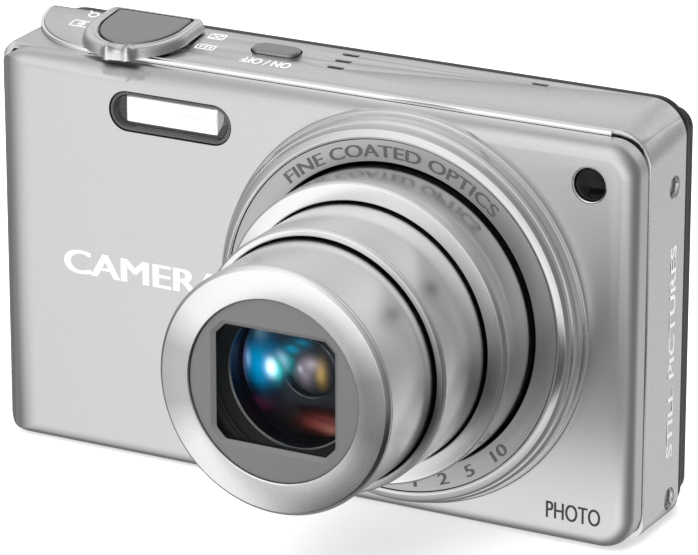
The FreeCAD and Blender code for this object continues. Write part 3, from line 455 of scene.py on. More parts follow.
def key_cap(outline, base, top, edge=0.25, dish=0.0, steps=4):
    """A button: straight sides, an eased top edge, and a top that may be dished or crowned."""
    sections = [[(x, y, base) for x, y in outline], [(x, y, top - edge) for x, y in outline]]
    for step in range(1, steps + 1):
        t = math.pi / 2 * step / steps
        inner = offset(outline, edge * (1 - math.cos(t)))
        sections.append([(x, y, top - edge + edge * math.sin(t)) for x, y in inner])
    for share in (0.75, 0.5, 0.25, 0.02):
        depth = dish * (1 - share * share)
        sections.append([(x * share, y * share, top - depth) for x, y in inner])
    return skin(sections, wrap=False, capped=True)


def lettering(words, size, thickness=0.02):
    """Flat lettering in local millimetres, centred on its first baseline."""
    curve = bpy.data.curves.new("lettering", "FONT")
    curve.body = words
    curve.size = size
    curve.extrude = thickness
    curve.align_x = "CENTER"
    curve.resolution_u = 6
    drawn = bpy.data.objects.new("lettering", curve)
    bpy.context.scene.collection.objects.link(drawn)
    bpy.context.view_layer.update()
    mesh = bpy.data.meshes.new_from_object(drawn.evaluated_get(bpy.context.evaluated_depsgraph_get()))
    bpy.data.objects.remove(drawn)
    return mesh


def join(meshes):
    """Several meshes in one, each already in its place."""
    mesh = bmesh.new()
    for each in meshes:
        mesh.from_mesh(each)
    made = bpy.data.meshes.new("joined")
    mesh.to_mesh(made)
    mesh.free()
    return made


def shifted(mesh, x, y, z=0.0):
    mesh.transform(Matrix.Translation((x, y, z)))
    return mesh


def bold(words, size, spread):
    """Lettering whose strokes are widened sideways by spread."""
    copies = [shifted(lettering(words, size), spread * side, 0, 0.002 * side) for side in (-1, 0, 1)]
    return join(copies)


def stretched(mesh, width=None, height=None):
    """Scales lettering to a width and a height."""
    xs = [v.co.x for v in mesh.vertices]
    ys = [v.co.y for v in mesh.vertices]
    across = width / (max(xs) - min(xs)) if width else 1.0
    up = height / (max(ys) - min(ys)) if height else across
    middle_x, low_y = (max(xs) + min(xs)) / 2, min(ys)
    for v in mesh.vertices:
        v.co.x = (v.co.x - middle_x) * across
        v.co.y = (v.co.y - low_y) * up
    return mesh


def round_ring(mesh, radius, angle, rise, slope, inward=False):
    """Bends lettering round a ring; angle is where its middle lies, anticlockwise from the right.
    The ring's face is at height rise on the lens axis and climbs outwards by slope."""
    for v in mesh.vertices:
        if inward:
            turn, reach = angle + v.co.x / radius, radius - v.co.y
        else:
            turn, reach = angle - v.co.x / radius, radius + v.co.y
        v.co.x, v.co.y = reach * math.cos(turn), reach * math.sin(turn)
        v.co.z += rise + slope * reach
    return mesh


def piece(name, mesh, where, body, finish, stands_for=(), crease=32):
    """Sets a mesh in its place, gives it its finish, and lets it ride on its body."""
    mesh.transform(where)
    mesh.materials.clear()
    mesh.materials.append(FINISHES[finish])
    mesh.polygons.foreach_set("use_smooth", [True] * len(mesh.polygons))
    mesh.set_sharp_from_angle(angle=math.radians(crease))
    mesh.name = name
    made = bpy.data.objects.new(name, mesh)
    bpy.context.scene.collection.objects.link(made)
    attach(made, body)
    if stands_for:
        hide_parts(*stands_for)
    return made


def eased(node, name, finish, width, body="camera_body", crease=32):
    """A copy of a CAD node with merged faces and small eased edges."""
    mesh = bmesh.new()
    mesh.from_mesh(frame["nodes"][node].data)
    bmesh.ops.remove_doubles(mesh, verts=mesh.verts, dist=1e-7)
    bmesh.ops.dissolve_limit(mesh, angle_limit=math.radians(0.4), verts=mesh.verts, edges=mesh.edges)
    data = bpy.data.meshes.new(name)
    mesh.to_mesh(data)
    mesh.free()
    if not width:
        return piece(name, data, Matrix.Identity(4), body, finish, (node,), crease)
    data.polygons.foreach_set("use_smooth", [True] * len(data.polygons))
    draft = bpy.data.objects.new(name + "_draft", data)
    bpy.context.scene.collection.objects.link(draft)
    bevel = draft.modifiers.new("eased", "BEVEL")
    bevel.width = width * MM
    bevel.segments = 2
    bevel.limit_method = "ANGLE"
    bevel.angle_limit = math.radians(crease)
    bevel.use_clamp_overlap = True
    bevel.harden_normals = False
    bpy.context.view_layer.update()
    final = bpy.data.meshes.new_from_object(draft.evaluated_get(bpy.context.evaluated_depsgraph_get()))
    bpy.data.objects.remove(draft)
    return piece(name, final, Matrix.Identity(4), body, finish, (node,), crease)


# ---------------------------------------------------------------- growing repeated parts
class Grower:
    """A Geometry Nodes tree with named inputs, used to make one plain mesh."""

    def __init__(self, name):
        self.group = bpy.data.node_groups.new(name, "GeometryNodeTree")
        self.group.interface.new_socket("Geometry", in_out="INPUT", socket_type="NodeSocketGeometry")
        self.group.interface.new_socket("Geometry", in_out="OUTPUT", socket_type="NodeSocketGeometry")
        self.ids = {}
        self.source = self.group.nodes.new("NodeGroupInput")
        self.sink = self.group.nodes.new("NodeGroupOutput")

    def takes(self, name, kind, value):
        socket = self.group.interface.new_socket(name, in_out="INPUT", socket_type="NodeSocket" + kind)
        if kind != "Material":
            socket.default_value = value
        self.ids[name] = socket.identifier
        return self.source.outputs[name]

    def node(self, kind, inputs=(), **settings):
        made = self.group.nodes.new(kind)
        for key, value in settings.items():
            setattr(made, key, value)
        for key, value in dict(inputs).items():
            if isinstance(value, bpy.types.NodeSocket):
                self.group.links.new(value, made.inputs[key])
            else:
                made.inputs[key].default_value = value
        return made

    def ends(self, geometry, material):
        """Realize Instances and Set Material, which every tree ends in."""
        plain = self.node("GeometryNodeRealizeInstances", {"Geometry": geometry})
        dressed = self.node("GeometryNodeSetMaterial", {"Geometry": plain.outputs[0], "Material": material})
        self.group.links.new(dressed.outputs[0], self.sink.inputs[0])

    def grow(self, mesh=None, **values):
        """The tree's result as a plain mesh in local millimetres."""
        start = bpy.data.objects.new("seed", mesh or bpy.data.meshes.new("seed"))
        bpy.context.scene.collection.objects.link(start)
        modifier = start.modifiers.new("grown", "NODES")
        modifier.node_group = self.group
        for name, value in values.items():
            modifier[self.ids[name]] = value
        bpy.context.view_layer.update()
        made = bpy.data.meshes.new_from_object(start.evaluated_get(bpy.context.evaluated_depsgraph_get()))
        bpy.data.objects.remove(start)
        return made


def ring_stack():
    """Thin ridges about local Z, spaced evenly from one radius and height to another."""
    tree = Grower("ring_stack")
    count = tree.takes("Rings", "Int", 8)
    first = tree.takes("First Radius", "Float", 15.0)
    last = tree.takes("Last Radius", "Float", 11.0)
    low = tree.takes("First Height", "Float", 40.0)
    high = tree.takes("Last Height", "Float", 42.0)
    wire = tree.takes("Ridge Radius", "Float", 0.12)
    material = tree.takes("Finish", "Material", None)
    line = tree.node("GeometryNodeMeshLine", {"Count": count, "Offset": (0, 0, 0)})
    index = tree.node("GeometryNodeInputIndex")
    last_index = tree.node("ShaderNodeMath", {0: count, 1: 1.0}, operation="SUBTRACT")
    share = tree.node("ShaderNodeMath", {0: index.outputs[0], 1: last_index.outputs[0]}, operation="DIVIDE")
    radius = tree.node("ShaderNodeMapRange", {"Value": share.outputs[0], "To Min": first, "To Max": last})
    height = tree.node("ShaderNodeMapRange", {"Value": share.outputs[0], "To Min": low, "To Max": high})
    at = tree.node("ShaderNodeCombineXYZ", {"Z": height.outputs["Result"]})
    points = tree.node("GeometryNodeSetPosition", {"Geometry": line.outputs[0], "Position": at.outputs[0]})
    circle = tree.node("GeometryNodeCurvePrimitiveCircle", {"Resolution": 120, "Radius": 1.0})
    size = tree.node("ShaderNodeCombineXYZ", {"X": radius.outputs["Result"], "Y": radius.outputs["Result"],
        "Z": 1.0})
    hoops = tree.node("GeometryNodeInstanceOnPoints", {"Points": points.outputs[0],
        "Instance": circle.outputs[0], "Scale": size.outputs[0]})
    real = tree.node("GeometryNodeRealizeInstances", {"Geometry": hoops.outputs[0]})
    section = tree.node("GeometryNodeCurvePrimitiveCircle", {"Resolution": 8, "Radius": wire})
    tube = tree.node("GeometryNodeCurveToMesh", {"Curve": real.outputs[0],
        "Profile Curve": section.outputs[0]})
    tree.ends(tube.outputs[0], material)
    return tree


def thread():
    """The ridge of a screw thread up local Z."""
    tree = Grower("thread")
    turns = tree.takes("Turns", "Float", 5.0)
    radius = tree.takes("Radius", "Float", 3.1)
    height = tree.takes("Length", "Float", 5.0)
    wire = tree.takes("Ridge Radius", "Float", 0.2)
    material = tree.takes("Finish", "Material", None)
    coil = tree.node("GeometryNodeCurveSpiral", {"Resolution": 48, "Rotations": turns,
        "Start Radius": radius, "End Radius": radius, "Height": height})
    section = tree.node("GeometryNodeCurvePrimitiveCircle", {"Resolution": 6, "Radius": wire})
    ridge = tree.node("GeometryNodeCurveToMesh", {"Curve": coil.outputs[0],
        "Profile Curve": section.outputs[0], "Fill Caps": True})
    tree.ends(ridge.outputs[0], material)
    return tree


def screw_heads():
    """A cross-recessed pan head on each seed point, out along the point's facing attribute."""
    tree = Grower("screw_heads")
    radius = tree.takes("Head Radius", "Float", 1.5)
    height = tree.takes("Head Height", "Float", 0.5)
    slot = tree.takes("Slot Width", "Float", 0.36)
    depth = tree.takes("Slot Depth", "Float", 0.4)
    material = tree.takes("Finish", "Material", None)
    outer = tree.node("GeometryNodeMeshCylinder", {"Vertices": 48, "Radius": radius, "Depth": height})
    crown = tree.node("GeometryNodeMeshUVSphere", {"Segments": 48, "Rings": 32, "Radius": 1.0})
    wide = tree.node("ShaderNodeMath", {0: radius, 1: 1.45}, operation="MULTIPLY")
    tall = tree.node("ShaderNodeMath", {0: height, 1: 0.69}, operation="MULTIPLY")
    squash = tree.node("ShaderNodeCombineXYZ", {"X": wide.outputs[0], "Y": wide.outputs[0],
        "Z": tall.outputs[0]})
    pan = tree.node("GeometryNodeTransform", {"Geometry": crown.outputs[0], "Scale": squash.outputs[0]})
    head = tree.node("GeometryNodeMeshBoolean", operation="INTERSECT", solver="EXACT")
    tree.group.links.new(outer.outputs["Mesh"], head.inputs[1])
    tree.group.links.new(pan.outputs[0], head.inputs[1])
    long = tree.node("ShaderNodeMath", {0: radius, 1: 1.25}, operation="MULTIPLY")
    deep = tree.node("ShaderNodeMath", {0: depth, 1: 2.0}, operation="MULTIPLY")
    arm_a = tree.node("ShaderNodeCombineXYZ", {"X": long.outputs[0], "Y": slot, "Z": deep.outputs[0]})
    arm_b = tree.node("ShaderNodeCombineXYZ", {"X": slot, "Y": long.outputs[0], "Z": deep.outputs[0]})
    top = tree.node("ShaderNodeMath", {0: height, 1: 0.5}, operation="MULTIPLY")
    lift = tree.node("ShaderNodeCombineXYZ", {"Z": top.outputs[0]})
    cut = tree.node("GeometryNodeMeshBoolean", operation="DIFFERENCE", solver="EXACT")
    tree.group.links.new(head.outputs[0], cut.inputs[0])
    for arm in (arm_a, arm_b):
        bar = tree.node("GeometryNodeMeshCube", {"Size": arm.outputs[0]})
        raised = tree.node("GeometryNodeTransform", {"Geometry": bar.outputs[0],
            "Translation": lift.outputs[0]})
        tree.group.links.new(raised.outputs[0], cut.inputs[1])
    facing = tree.node("GeometryNodeInputNamedAttribute", {"Name": "facing"}, data_type="FLOAT_VECTOR")
    turn = tree.node("FunctionNodeAlignRotationToVector", {"Vector": facing.outputs[0]}, axis="Z")
    spin = tree.node("GeometryNodeInputNamedAttribute", {"Name": "spin"}, data_type="FLOAT")
    about = tree.node("ShaderNodeCombineXYZ", {"Z": spin.outputs[0]})
    local = tree.node("FunctionNodeRotateRotation", {0: turn.outputs[0], 1: about.outputs[0]},
        rotation_space="LOCAL")
    heads = tree.node("GeometryNodeInstanceOnPoints", {"Points": tree.source.outputs["Geometry"],
        "Instance": cut.outputs[0], "Rotation": local.outputs[0]})
    tree.ends(heads.outputs[0], material)
    return tree


# ---------------------------------------------------------------- shells
def shells():
    """The covers keep their CAD form, with eased edges and their own finishes."""
    eased("front_cover", "cover_front", "cover", 0.0)
    eased("deck_trim", "deck_edge_strip", "trim", 0.04)
    eased("top_plate", "deck_plate", "band", 0.07)
    band = eased("side_band", "side_band_skin", "band", 0.07)
    for v in band.data.vertices:
        v.co.x = min(v.co.x, 49.553 * MM)
    eased("rear_cover", "rear_shell", "rear", 0.08)
    eased("battery_door", "battery_door_skin", "band", 0.10, body="door")
    eased("thumb_rest", "thumb_rest_pad", "grip", 0.06)


# ---------------------------------------------------------------- lens
def lens_collar():
    """The stepped collar and the flat scale ring inside it."""
    face = -FRONT_Y
    collar = [
        (27.5, face - 0.2, 0), (27.5, face + 0.55, 0.15), (27.2, face + 0.9, 0.1), (26.98, face + 0.75,
        0.03),
        (26.9, face + 0.75, 0.03), (26.8, face + 2.5, 0.35), (26.35, face + 3.0, 0.12), (26.2, face + 2.95,
        0.03),
        (26.15, face + 3.65, 0.15), (25.8, face + 4.2, 0.2), (24.95, face + 4.6, 0.2), (24.6, face + 4.45,
        0.06),
        (24.6, face + 3.25, 0), (24.3, face + 3.2, 0), (24.3, face - 0.8, 0), (25.85, face - 0.8, 0), (25.9,
        face - 0.2, 0),
    ]
    piece("lens_collar", turned(collar, 240), LENS, "camera_body", "collar", ("lens_bezel",))
    inner, outer, low, high = 21.42, 24.5, face + 4.14, face + 4.36
    slope = (high - low) / (outer - inner)
    ring = [(outer, high, 0.08), (inner, low, 0.1), (inner, face + 2.9, 0), (outer, face + 3.3, 0)]
    piece("scale_ring", turned(ring, 240), LENS, "camera_body", "scale_ring", ("lens_ring",))
    rise = low - slope * inner + 0.015
    words = stretched(bold("FINE COATED OPTICS", 2.0, 0.05), 33.0, 1.7)
    numbers = stretched(bold("0.5   1   2   5   10", 2.0, 0.05), 24.0, 1.6)
    round_ring(words, 22.05, math.radians(90), rise, slope)
    round_ring(numbers, 23.85, math.radians(289.5), rise, slope, inward=True)
    for name, text in (("ring_words", words), ("ring_numbers", numbers)):
        piece(name, text, LENS, "camera_body", "ink_grey")


def barrels():
    """Three telescoping barrels, each with a bright front rim and a fine shadow line behind it."""
    stages = (
        ("barrel_stage_1", "lens_stage_1", 20.9, 19.8, 18.4),
        ("barrel_stage_2", "lens_stage_2", 18.1, 17.1, 17.05),
    )
    for node, body, outer, inner, lip in stages:
        low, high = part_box(node)
        front, rear = -low.y / MM, -high.y / MM
        rim = [
            (lip, front - 0.1, 0.05), (lip + 0.15, front, 0.05), (outer - 0.28, front, 0.12), (outer,
            front - 0.34, 0.12),
            (outer, front - 0.62, 0.03), (outer - 0.06, front - 0.68, 0.02), (outer - 0.06, front - 0.8,
            0.02),
            (outer - 0.06, front - 1.15, 0), (lip, front - 1.15, 0),
        ]
        piece(node + "_rim", turned(rim), LENS, body, "rim")
        tube = [
            (outer - 0.07, front - 1.2, 0), (outer - 0.07, front - 0.86, 0), (outer, front - 0.80, 0.02),
            (outer, rear, 0.1), (inner, rear, 0.05), (inner, front - 1.2, 0),
        ]
        piece(node + "_tube", turned(tube), LENS, body, "barrel", (node,))
    low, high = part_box("front_ring")
    front, outer = -low.y / MM, (high.x - low.x) / 2 / MM
    ring = [
        (12.36, front - 0.8, 0), (12.36, front - 0.12, 0.05), (12.5, front, 0.06), (outer - 0.5, front,
        0.2),
        (outer, front - 0.5, 0.2), (outer, front - 0.78, 0),
    ]
    piece("front_ring_turned", turned(ring, 240), LENS, "lens_stage_3", "rim", ("front_ring",
        ))
    low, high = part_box("barrel_stage_3")
    front, rear = -low.y / MM, -high.y / MM
    tube = [(outer - 1.1, front, 0), (outer - 0.06, front, 0.03), (outer - 0.06, front - 0.12, 0.02),
        (outer, front - 0.2, 0.03),
            (outer, rear, 0.1), (outer - 1.1, rear, 0.05)]
    piece("barrel_stage_3_tube", turned(tube), LENS, "lens_stage_3", "barrel",
        ("barrel_stage_3",))


def window_radius(angle, half_width, half_height, cut):
    """The distance from the lens axis to the edge of the eight-sided window."""
    across, up = abs(math.cos(angle)), abs(math.sin(angle))
    return 1 / max(across / half_width, up / half_height, (across + up) / (half_width + half_height - cut))


def aperture_panel():
    """The flat panel with its eight-sided window, chamfered inwards."""
    front = -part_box("aperture_plate")[0].y / MM
    half_width, half_height, cut = 8.67, 7.85, 1.4
    corner_angles = []
    for quarter in range(4):
        for x, y in ((half_width - cut, half_height), (half_width, half_height - cut)):
            angle = math.atan2(y, x)
            corner_angles.append((quarter * math.pi - angle if quarter % 2 else quarter * math.pi + angle) % TURN)
    angles = sorted([TURN * i / 192 for i in range(192)] + corner_angles)
    depths = ((12.3, front - 0.5), (12.3, front - 0.04), (12.26, front))
    sections = []
    for angle in angles:
        section = [(r, h) for r, h in depths]
        for grow, h in ((0.62, front), (0.58, front - 0.02), (0.02, front - 0.42), (0.0, front - 0.5)):
            section.append((window_radius(angle, half_width + grow, half_height + grow, cut + grow * 0.6),
                h))
        sections.append([(r * math.cos(angle), r * math.sin(angle), h) for r, h in section])
    piece("aperture_panel", skin(sections), LENS, "lens_stage_3", "aperture",
        ("aperture_plate",), 20)


def glass():
    """The front group: a black stepped cell, its elements with painted reflections, and the group behind it."""
    front = -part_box("front_lens")[0].y / MM
    cell = [
        (9.5, front - 4.6, 0), (9.5, front - 2.6, 0.05), (9.75, front - 2.35, 0.05), (10.6, front - 1.3,
        0.1), (10.75, front - 0.9, 0.05),
        (11.9, front - 0.2, 0.1), (13.6, front + 0.3, 0.1), (15.5, front + 0.3, 0), (15.5, front - 6.1, 0),
        (10.95, front - 6.1, 0),
        (10.95, front - 4.6, 0),
    ]
    piece("front_cell", turned(cell), LENS, "lens_stage_3", "inner", ("front_lens_holder",))
    piece("front_element", domed(9.42, front - 5.3, front - 2.6, front - 0.9), LENS, "lens_stage_3",
        "front_glass", ("front_lens",))
    # This element carries painted reflections of the studio lights in its colour patches.
    piece("painted_reflection_element", domed(9.2, front - 5.9, front - 5.4, front - 2.9), LENS, "lens_stage_3",
        "blue_glass_painted_reflections")
    baffle = [(3.9, front - 6.7, 0.05), (4.1, front - 6.45, 0.05), (4.7, front - 6.3, 0.1), (10.9,
        front - 6.0, 0), (10.9, front - 6.6, 0), (3.9, front - 7.1, 0)]
    piece("inner_baffle", turned(baffle), LENS, "lens_stage_3", "inner")
    # The inner element carries painted highlights in its colour patches.
    piece("inner_element_painted_highlights", domed(3.7, front - 7.9, front - 7.5, front - 6.7, rings=10), LENS,
        "lens_stage_3", "amber_glass_painted_highlights")
    stack = ring_stack()
    ridges = {"Rings": 4, "First Radius": 11.0, "Last Radius": 13.2, "First Height": front - 0.65,
        "Last Height": front + 0.25,
              "Ridge Radius": 0.08, "Finish": FINISHES["inner"]}
    piece("cell_ridges", stack.grow(**ridges), LENS, "lens_stage_3", "inner")
    bright = {"Rings": 2, "First Radius": 9.5, "Last Radius": 9.62, "First Height": front - 2.55,
        "Last Height": front - 2.4,
              "Ridge Radius": 0.05, "Finish": FINISHES["steel"]}
    piece("glass_edge_ring", stack.grow(**bright), LENS, "lens_stage_3", "steel")
    narrow = {"Rings": 1, "First Radius": 3.95, "Last Radius": 3.95, "First Height": front - 6.42,
        "Last Height": front - 6.42,
              "Ridge Radius": 0.05, "Finish": FINISHES["steel"]}
    piece("inner_edge_ring", stack.grow(**narrow), LENS, "lens_stage_3", "steel")


# ---------------------------------------------------------------- flash and focus lamp
def flash_unit():
    """The flash window in its dark frame, over a fluted mirror with its tube."""
    low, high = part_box("flash_window")
    centre = (low + high) / 2
    where = place((centre.x, 0, centre.z), (1, 0, 0), (0, 0, 1))
    width, height = (high.x - low.x) / MM, (high.z - low.z) / MM
    front, rear = -low.y / MM, -high.y / MM
    outer = rounded_box(width, height, height / 2 - 0.02, 16)
    inner = offset(outer, 0.55)
    sections = []
    for outline, depth in ((outer, rear), (outer, front - 0.25), (offset(outer, 0.1), front - 0.02),
            (offset(outer, 0.42), front),
                           (inner, front - 0.15), (inner, rear)):
        sections.append([(x, y, depth) for x, y in outline])
    piece("flash_frame", skin(sections), where, "camera_body", "flash_rim")
    pane = key_cap(offset(outer, 0.57), rear + 0.05, front - 0.1, 0.2, -0.05)
    piece("flash_pane", pane, where, "camera_body", "flash_pane", ("flash_window",))
    low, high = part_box("flash_reflector")
    centre = (low + high) / 2
    where = place((centre.x, 0, centre.z), (1, 0, 0), (0, 0, 1))
    half, tall = (high.x - low.x) / 2 / MM, (high.z - low.z) / 2 / MM
    mouth = -low.y / MM
    sections = []
    for step in range(25):
        t = -1 + 2 * step / 24
        up = tall * 0.8 * t
        depth = mouth - 0.05 - 2.6 * math.sqrt(max(0.0, 1 - t * t))
        sections.append([(-half + 0.3, up, mouth - 0.1), (-half + 1.2, up, depth), (half - 1.5, up, depth),
            (half - 1.1, up, mouth - 0.1)])
    trough = [[(x, y, z) for x, y, z in row] for row in sections]
    outer_back = [[(x, y * 1.06, z - 0.25) for x, y, z in row] for row in reversed(sections)]
    piece("flash_trough", skin(trough + outer_back, ring=False), where, "camera_body", "mirror",
        ("flash_reflector",), 50)


def focus_lamp():
    low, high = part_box("af_lamp_lens")
    centre = (low + high) / 2
    where = place((centre.x, 0, centre.z), (1, 0, 0), (0, 0, 1))
    radius = (high.x - low.x) / 2 / MM
    front, rear = -low.y / MM, -high.y / MM
    piece("focus_lamp", domed(radius - 0.22, rear, front - 0.75, front, 64, 10), where, "camera_body",
        "lamp", ("af_lamp_lens",))
    ring = [(radius - 0.2, rear, 0), (radius - 0.2, front - 0.5, 0.05), (radius - 0.02, front - 0.32, 0.05),
        (radius, rear, 0)]
    piece("focus_lamp_ring", turned(ring, 96), where, "camera_body", "trim")


# ---------------------------------------------------------------- deck controls
def lever_radius(angle):
    """The lever's outer edge along a ray: round at the front, straight sides to a flat rear with round corners."""
    x, y = math.cos(angle), math.sin(angle)
    if y <= 0:
        return 7.8
    reach = min(7.8 / max(abs(x), 1e-6), 5.95 / y)
    px, py = abs(x) * reach, y * reach
    if px > 6.2 and py > 4.35:
        cx, cy = 6.2, 4.35
        along = abs(x) * cx + y * cy
        reach = along + math.sqrt(max(0.0, along * along - (cx * cx + cy * cy) + 1.6 * 1.6))
    return reach


def key_radius(angle, grow=0.0):
    """The shutter button's edge along a ray: half an ellipse in front, straight sides and a flat rear."""
    half, depth, widest, rear, corner = 5.8 + grow, 7.0 + grow, 1.7, 5.1 + grow, 0.6
    x, y = math.cos(angle), math.sin(angle)
    a = (x / half) ** 2 + (y / depth) ** 2
    b = -2 * y * widest / depth ** 2
    c = (widest / depth) ** 2 - 1
    reach = (-b + math.sqrt(b * b - 4 * a * c)) / (2 * a)
    if y * reach <= widest:
        return reach
    reach = min(half / max(abs(x), 1e-6), rear / y)
    cx, cy = half - corner, rear - corner
    if abs(x) * reach > cx and y * reach > cy:
        along = abs(x) * cx + y * cy
        reach = along + math.sqrt(max(0.0, along * along - (cx * cx + cy * cy) + corner * corner))
    return reach


def zoom_lever():
    """The collar round the shutter button: a sloping rim, a grooved flat top, a low bridge behind and a
    two-lobed finger tab in front."""
    bore_corner = math.atan2(5.4, 6.1)
    angles = [TURN * i / 240 for i in range(240)]
    angles += [bore_corner - 0.004, bore_corner + 0.004, math.pi - bore_corner - 0.004,
        math.pi - bore_corner + 0.004]
    section = [
        (0.0, 0.30, 1.0), (0.0, 0.46, 1.0), (0.03, 0.60, 1.0), (0.07, 0.92, 1.0), (0.13, 1.22, 1.0), (0.22,
        1.46, 0.95),
        (0.34, 1.58, 0.85), (0.42, 1.60, 0.75), (0.60, 1.60, 0.55), (0.66, 1.60, 0.45), (0.69, 1.53, 0.4),
        (0.74, 1.53, 0.35),
        (0.77, 1.60, 0.3), (0.93, 1.60, 0.1), (1.0, 1.50, 0.0), (1.0, 0.30, 0.0),
    ]
    sections = []
    for angle in sorted(angles):
        off = math.degrees(angle) - 360 + 80.7
        lobes = math.exp(-((off - 10.5) / 5.0) ** 2) + math.exp(-((off + 11.5) / 5.0) ** 2)
        saddle = math.exp(-(off / 16.0) ** 4)
        outer, bore = lever_radius(angle), key_radius(angle, 0.3)
        ceiling = 1.5 if bore_corner < angle < math.pi - bore_corner else 9.0
        row = []
        for share, height, follow in section:
            radius = outer + (bore - outer) * share
            radius += follow * (0.55 * saddle + 0.45 * lobes) * (1 if share < 0.5 else 0.3)
            lift = (0.12 * saddle + 0.62 * lobes) * follow * (height - 0.3) / 1.3
            row.append((radius * math.cos(angle), radius * math.sin(angle), min(height + lift, ceiling)))
        sections.append(row)
    where = on_deck(LEVER_AT.x / MM, LEVER_AT.y / MM)
    piece("lever_ring", skin(sections), where, "lever", "lever", ("zoom_lever",), 40)


def shutter_key():
    """The satin shutter button, slightly dished, on its stem."""
    outline = []
    for i in range(180):
        angle = TURN * i / 180
        outline.append((key_radius(angle) * math.cos(angle), key_radius(angle) * math.sin(angle)))
    cap = key_cap(outline, 0.95, 1.6, 0.22, 0.1)
    stem = turned([(0.9, -3.2, 0), (1.2, -3.0, 0.1), (1.2, 0.97, 0), (0.5, 0.97, 0), (0.5, -3.2, 0)], 40)
    where = on_deck(LEVER_AT.x / MM, LEVER_AT.y / MM)
    piece("shutter_key", join([cap, stem]), where, "shutter", "button", ("shutter_button",),
        40)


def power_key():
    outline = rounded_box(7.2, 3.2, 1.59, 14)
    cap = key_cap(outline, -1.6, 0.38, 0.3, -0.03)
    piece("power_key", cap, on_deck(-10.0, 1.8), "power", "button", ("power_button",), 40)


def frame_mark(width, height, line=0.18, thickness=0.02):
    outer = rounded_box(width, height, 0.08, 2)
    inner = offset(outer, line)
    sections = [[(x, y, z) for x, y in outline] for outline, z in
                ((outer, -thickness), (outer, thickness), (inner, thickness), (inner, -thickness))]
    return skin(sections)


def deck_marks():
    """The white marks on the deck, read from behind the camera."""
    piece("power_word", stretched(bold("ON / OFF", 2.0, 0.05), 7.6, 1.7), on_deck(-9.5, -1.3, True),
        "camera_body", "ink_white")
    tiles = [shifted(frame_mark(0.62, 0.46, 0.22), x, y) for x, y in ((-0.5, -0.35), (0.5, -0.35),
        (0.0, 0.1), (-0.55, 0.5), (0.55, 0.5))]
    grid = join([frame_mark(2.5, 1.8, 0.24)] + tiles)
    piece("thumbnail_mark", grid, on_deck(-20.1, 3.3, True), "camera_body", "ink_white")
    wide = join([frame_mark(3.0, 1.5, 0.22)] + [shifted(frame_mark(0.45, 0.6, 0.2), x, 0) for x in (-0.75,
        0, 0.75)])
    piece("wide_mark", wide, on_deck(-19.9, -0.3, True), "camera_body", "ink_white")
    tele = join([frame_mark(3.3, 2.0, 0.22), frame_mark(1.0, 1.3, 0.45)])
    piece("tele_mark", tele, on_deck(-40.4, 0.9, True), "camera_body", "ink_white")
    hoop = turned([(0.55, -0.02, 0), (0.55, 0.02, 0), (0.82, 0.02, 0), (0.82, -0.02, 0)], 40)
    handle = skin([[(x, y, z) for x, y in ((-0.14, -1.6), (0.14, -1.6), (0.14, -0.75),
        (-0.14, -0.75))] for z in (-0.02, 0.02)], wrap=False, capped=True)
    handle.transform(Matrix.Rotation(math.radians(45), 4, "Z"))
    piece("loupe_mark", join([hoop, handle]), on_deck(-40.4, 4.2, True), "camera_body", "ink_white")


def front_marks():
    """Two plain words on the front cover."""
    out = Matrix.Translation((0, 0, -FRONT_Y))
    corner = stretched(bold("PHOTO", 4.0, 0.08), 8.0, 2.4)
    piece("corner_word", corner, FACE @ out @ Matrix.Translation((41.4, 3.55, 0)), "camera_body",
        "ink_dark")
    word = stretched(bold("CAMERA", 4.0, 0.12), 25.6, 3.4)
    piece("front_word", word, FACE @ out @ Matrix.Translation((-24.3, 26.0, 0)), "camera_body", "ink_white")


def side_marks():
    where = place((49.575 * MM, 2.95 * MM, 25 * MM), (0, 0, 1), (0, -1, 0))
    piece("side_words", stretched(bold("STILL PICTURES", 2.0, 0.03), 30.0, 1.7), where, "camera_body",
        "ink_white")


# ---------------------------------------------------------------- fixings and underside
def screws():
    seeds = bpy.data.meshes.new("screw_places")
    sides = [((49.33, y, z), (1, 0, 0), 0.4) for y, z in ((2.0, 48.1), (2.5, 3.9))]
    feet = [((x, 3.4, 0.32), (0, 0, -1), 0.3 + x) for x in (3.0, 29.0, 43.5)]
    spots = sides + feet
    seeds.from_pydata([s[0] for s in spots], [], [])
    facing = seeds.attributes.new("facing", "FLOAT_VECTOR", "POINT")
    spin = seeds.attributes.new("spin", "FLOAT", "POINT")
    for i, (_, out, turn) in enumerate(spots):
        facing.data[i].vector = out
        spin.data[i].value = turn
    sizes = {"Head Radius": 1.35, "Head Height": 0.4, "Slot Width": 0.3, "Slot Depth": 0.3,
        "Finish": FINISHES["steel"]}
    heads = screw_heads().grow(seeds, **sizes)
    piece("case_screw_heads", heads, Matrix.Scale(MM, 4), "camera_body", "steel", ("case_screws",))


def tripod_thread():
    low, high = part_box("tripod_bush")
    centre = (low + high) / 2
    where = place((centre.x, centre.y, 0.4 * MM), (1, 0, 0), (0, 1, 0))
    sizes = {"Turns": 3.6, "Radius": 3.17, "Length": 4.3, "Ridge Radius": 0.12, "Finish": FINISHES["steel"]}
    piece("tripod_thread", thread().grow(**sizes), where, "camera_body", "steel")


# ---------------------------------------------------------------- rear
def rear_marks():
    """Plain generic marks beside the rear buttons."""
    for name, words, x, z, size in (("menu_word", "MENU", -21.5, 41.2, 1.3), ("ok_word", "OK", -31.5, 24.0,
            1.2)):
        lift = 10.6 if name == "ok_word" else 10.3
        text = lettering(words, size * 1.4)
        piece(name, text, BACK @ Matrix.Translation((-x, z, lift)),
            "ok" if name == "ok_word" else "camera_body", "ink_white")


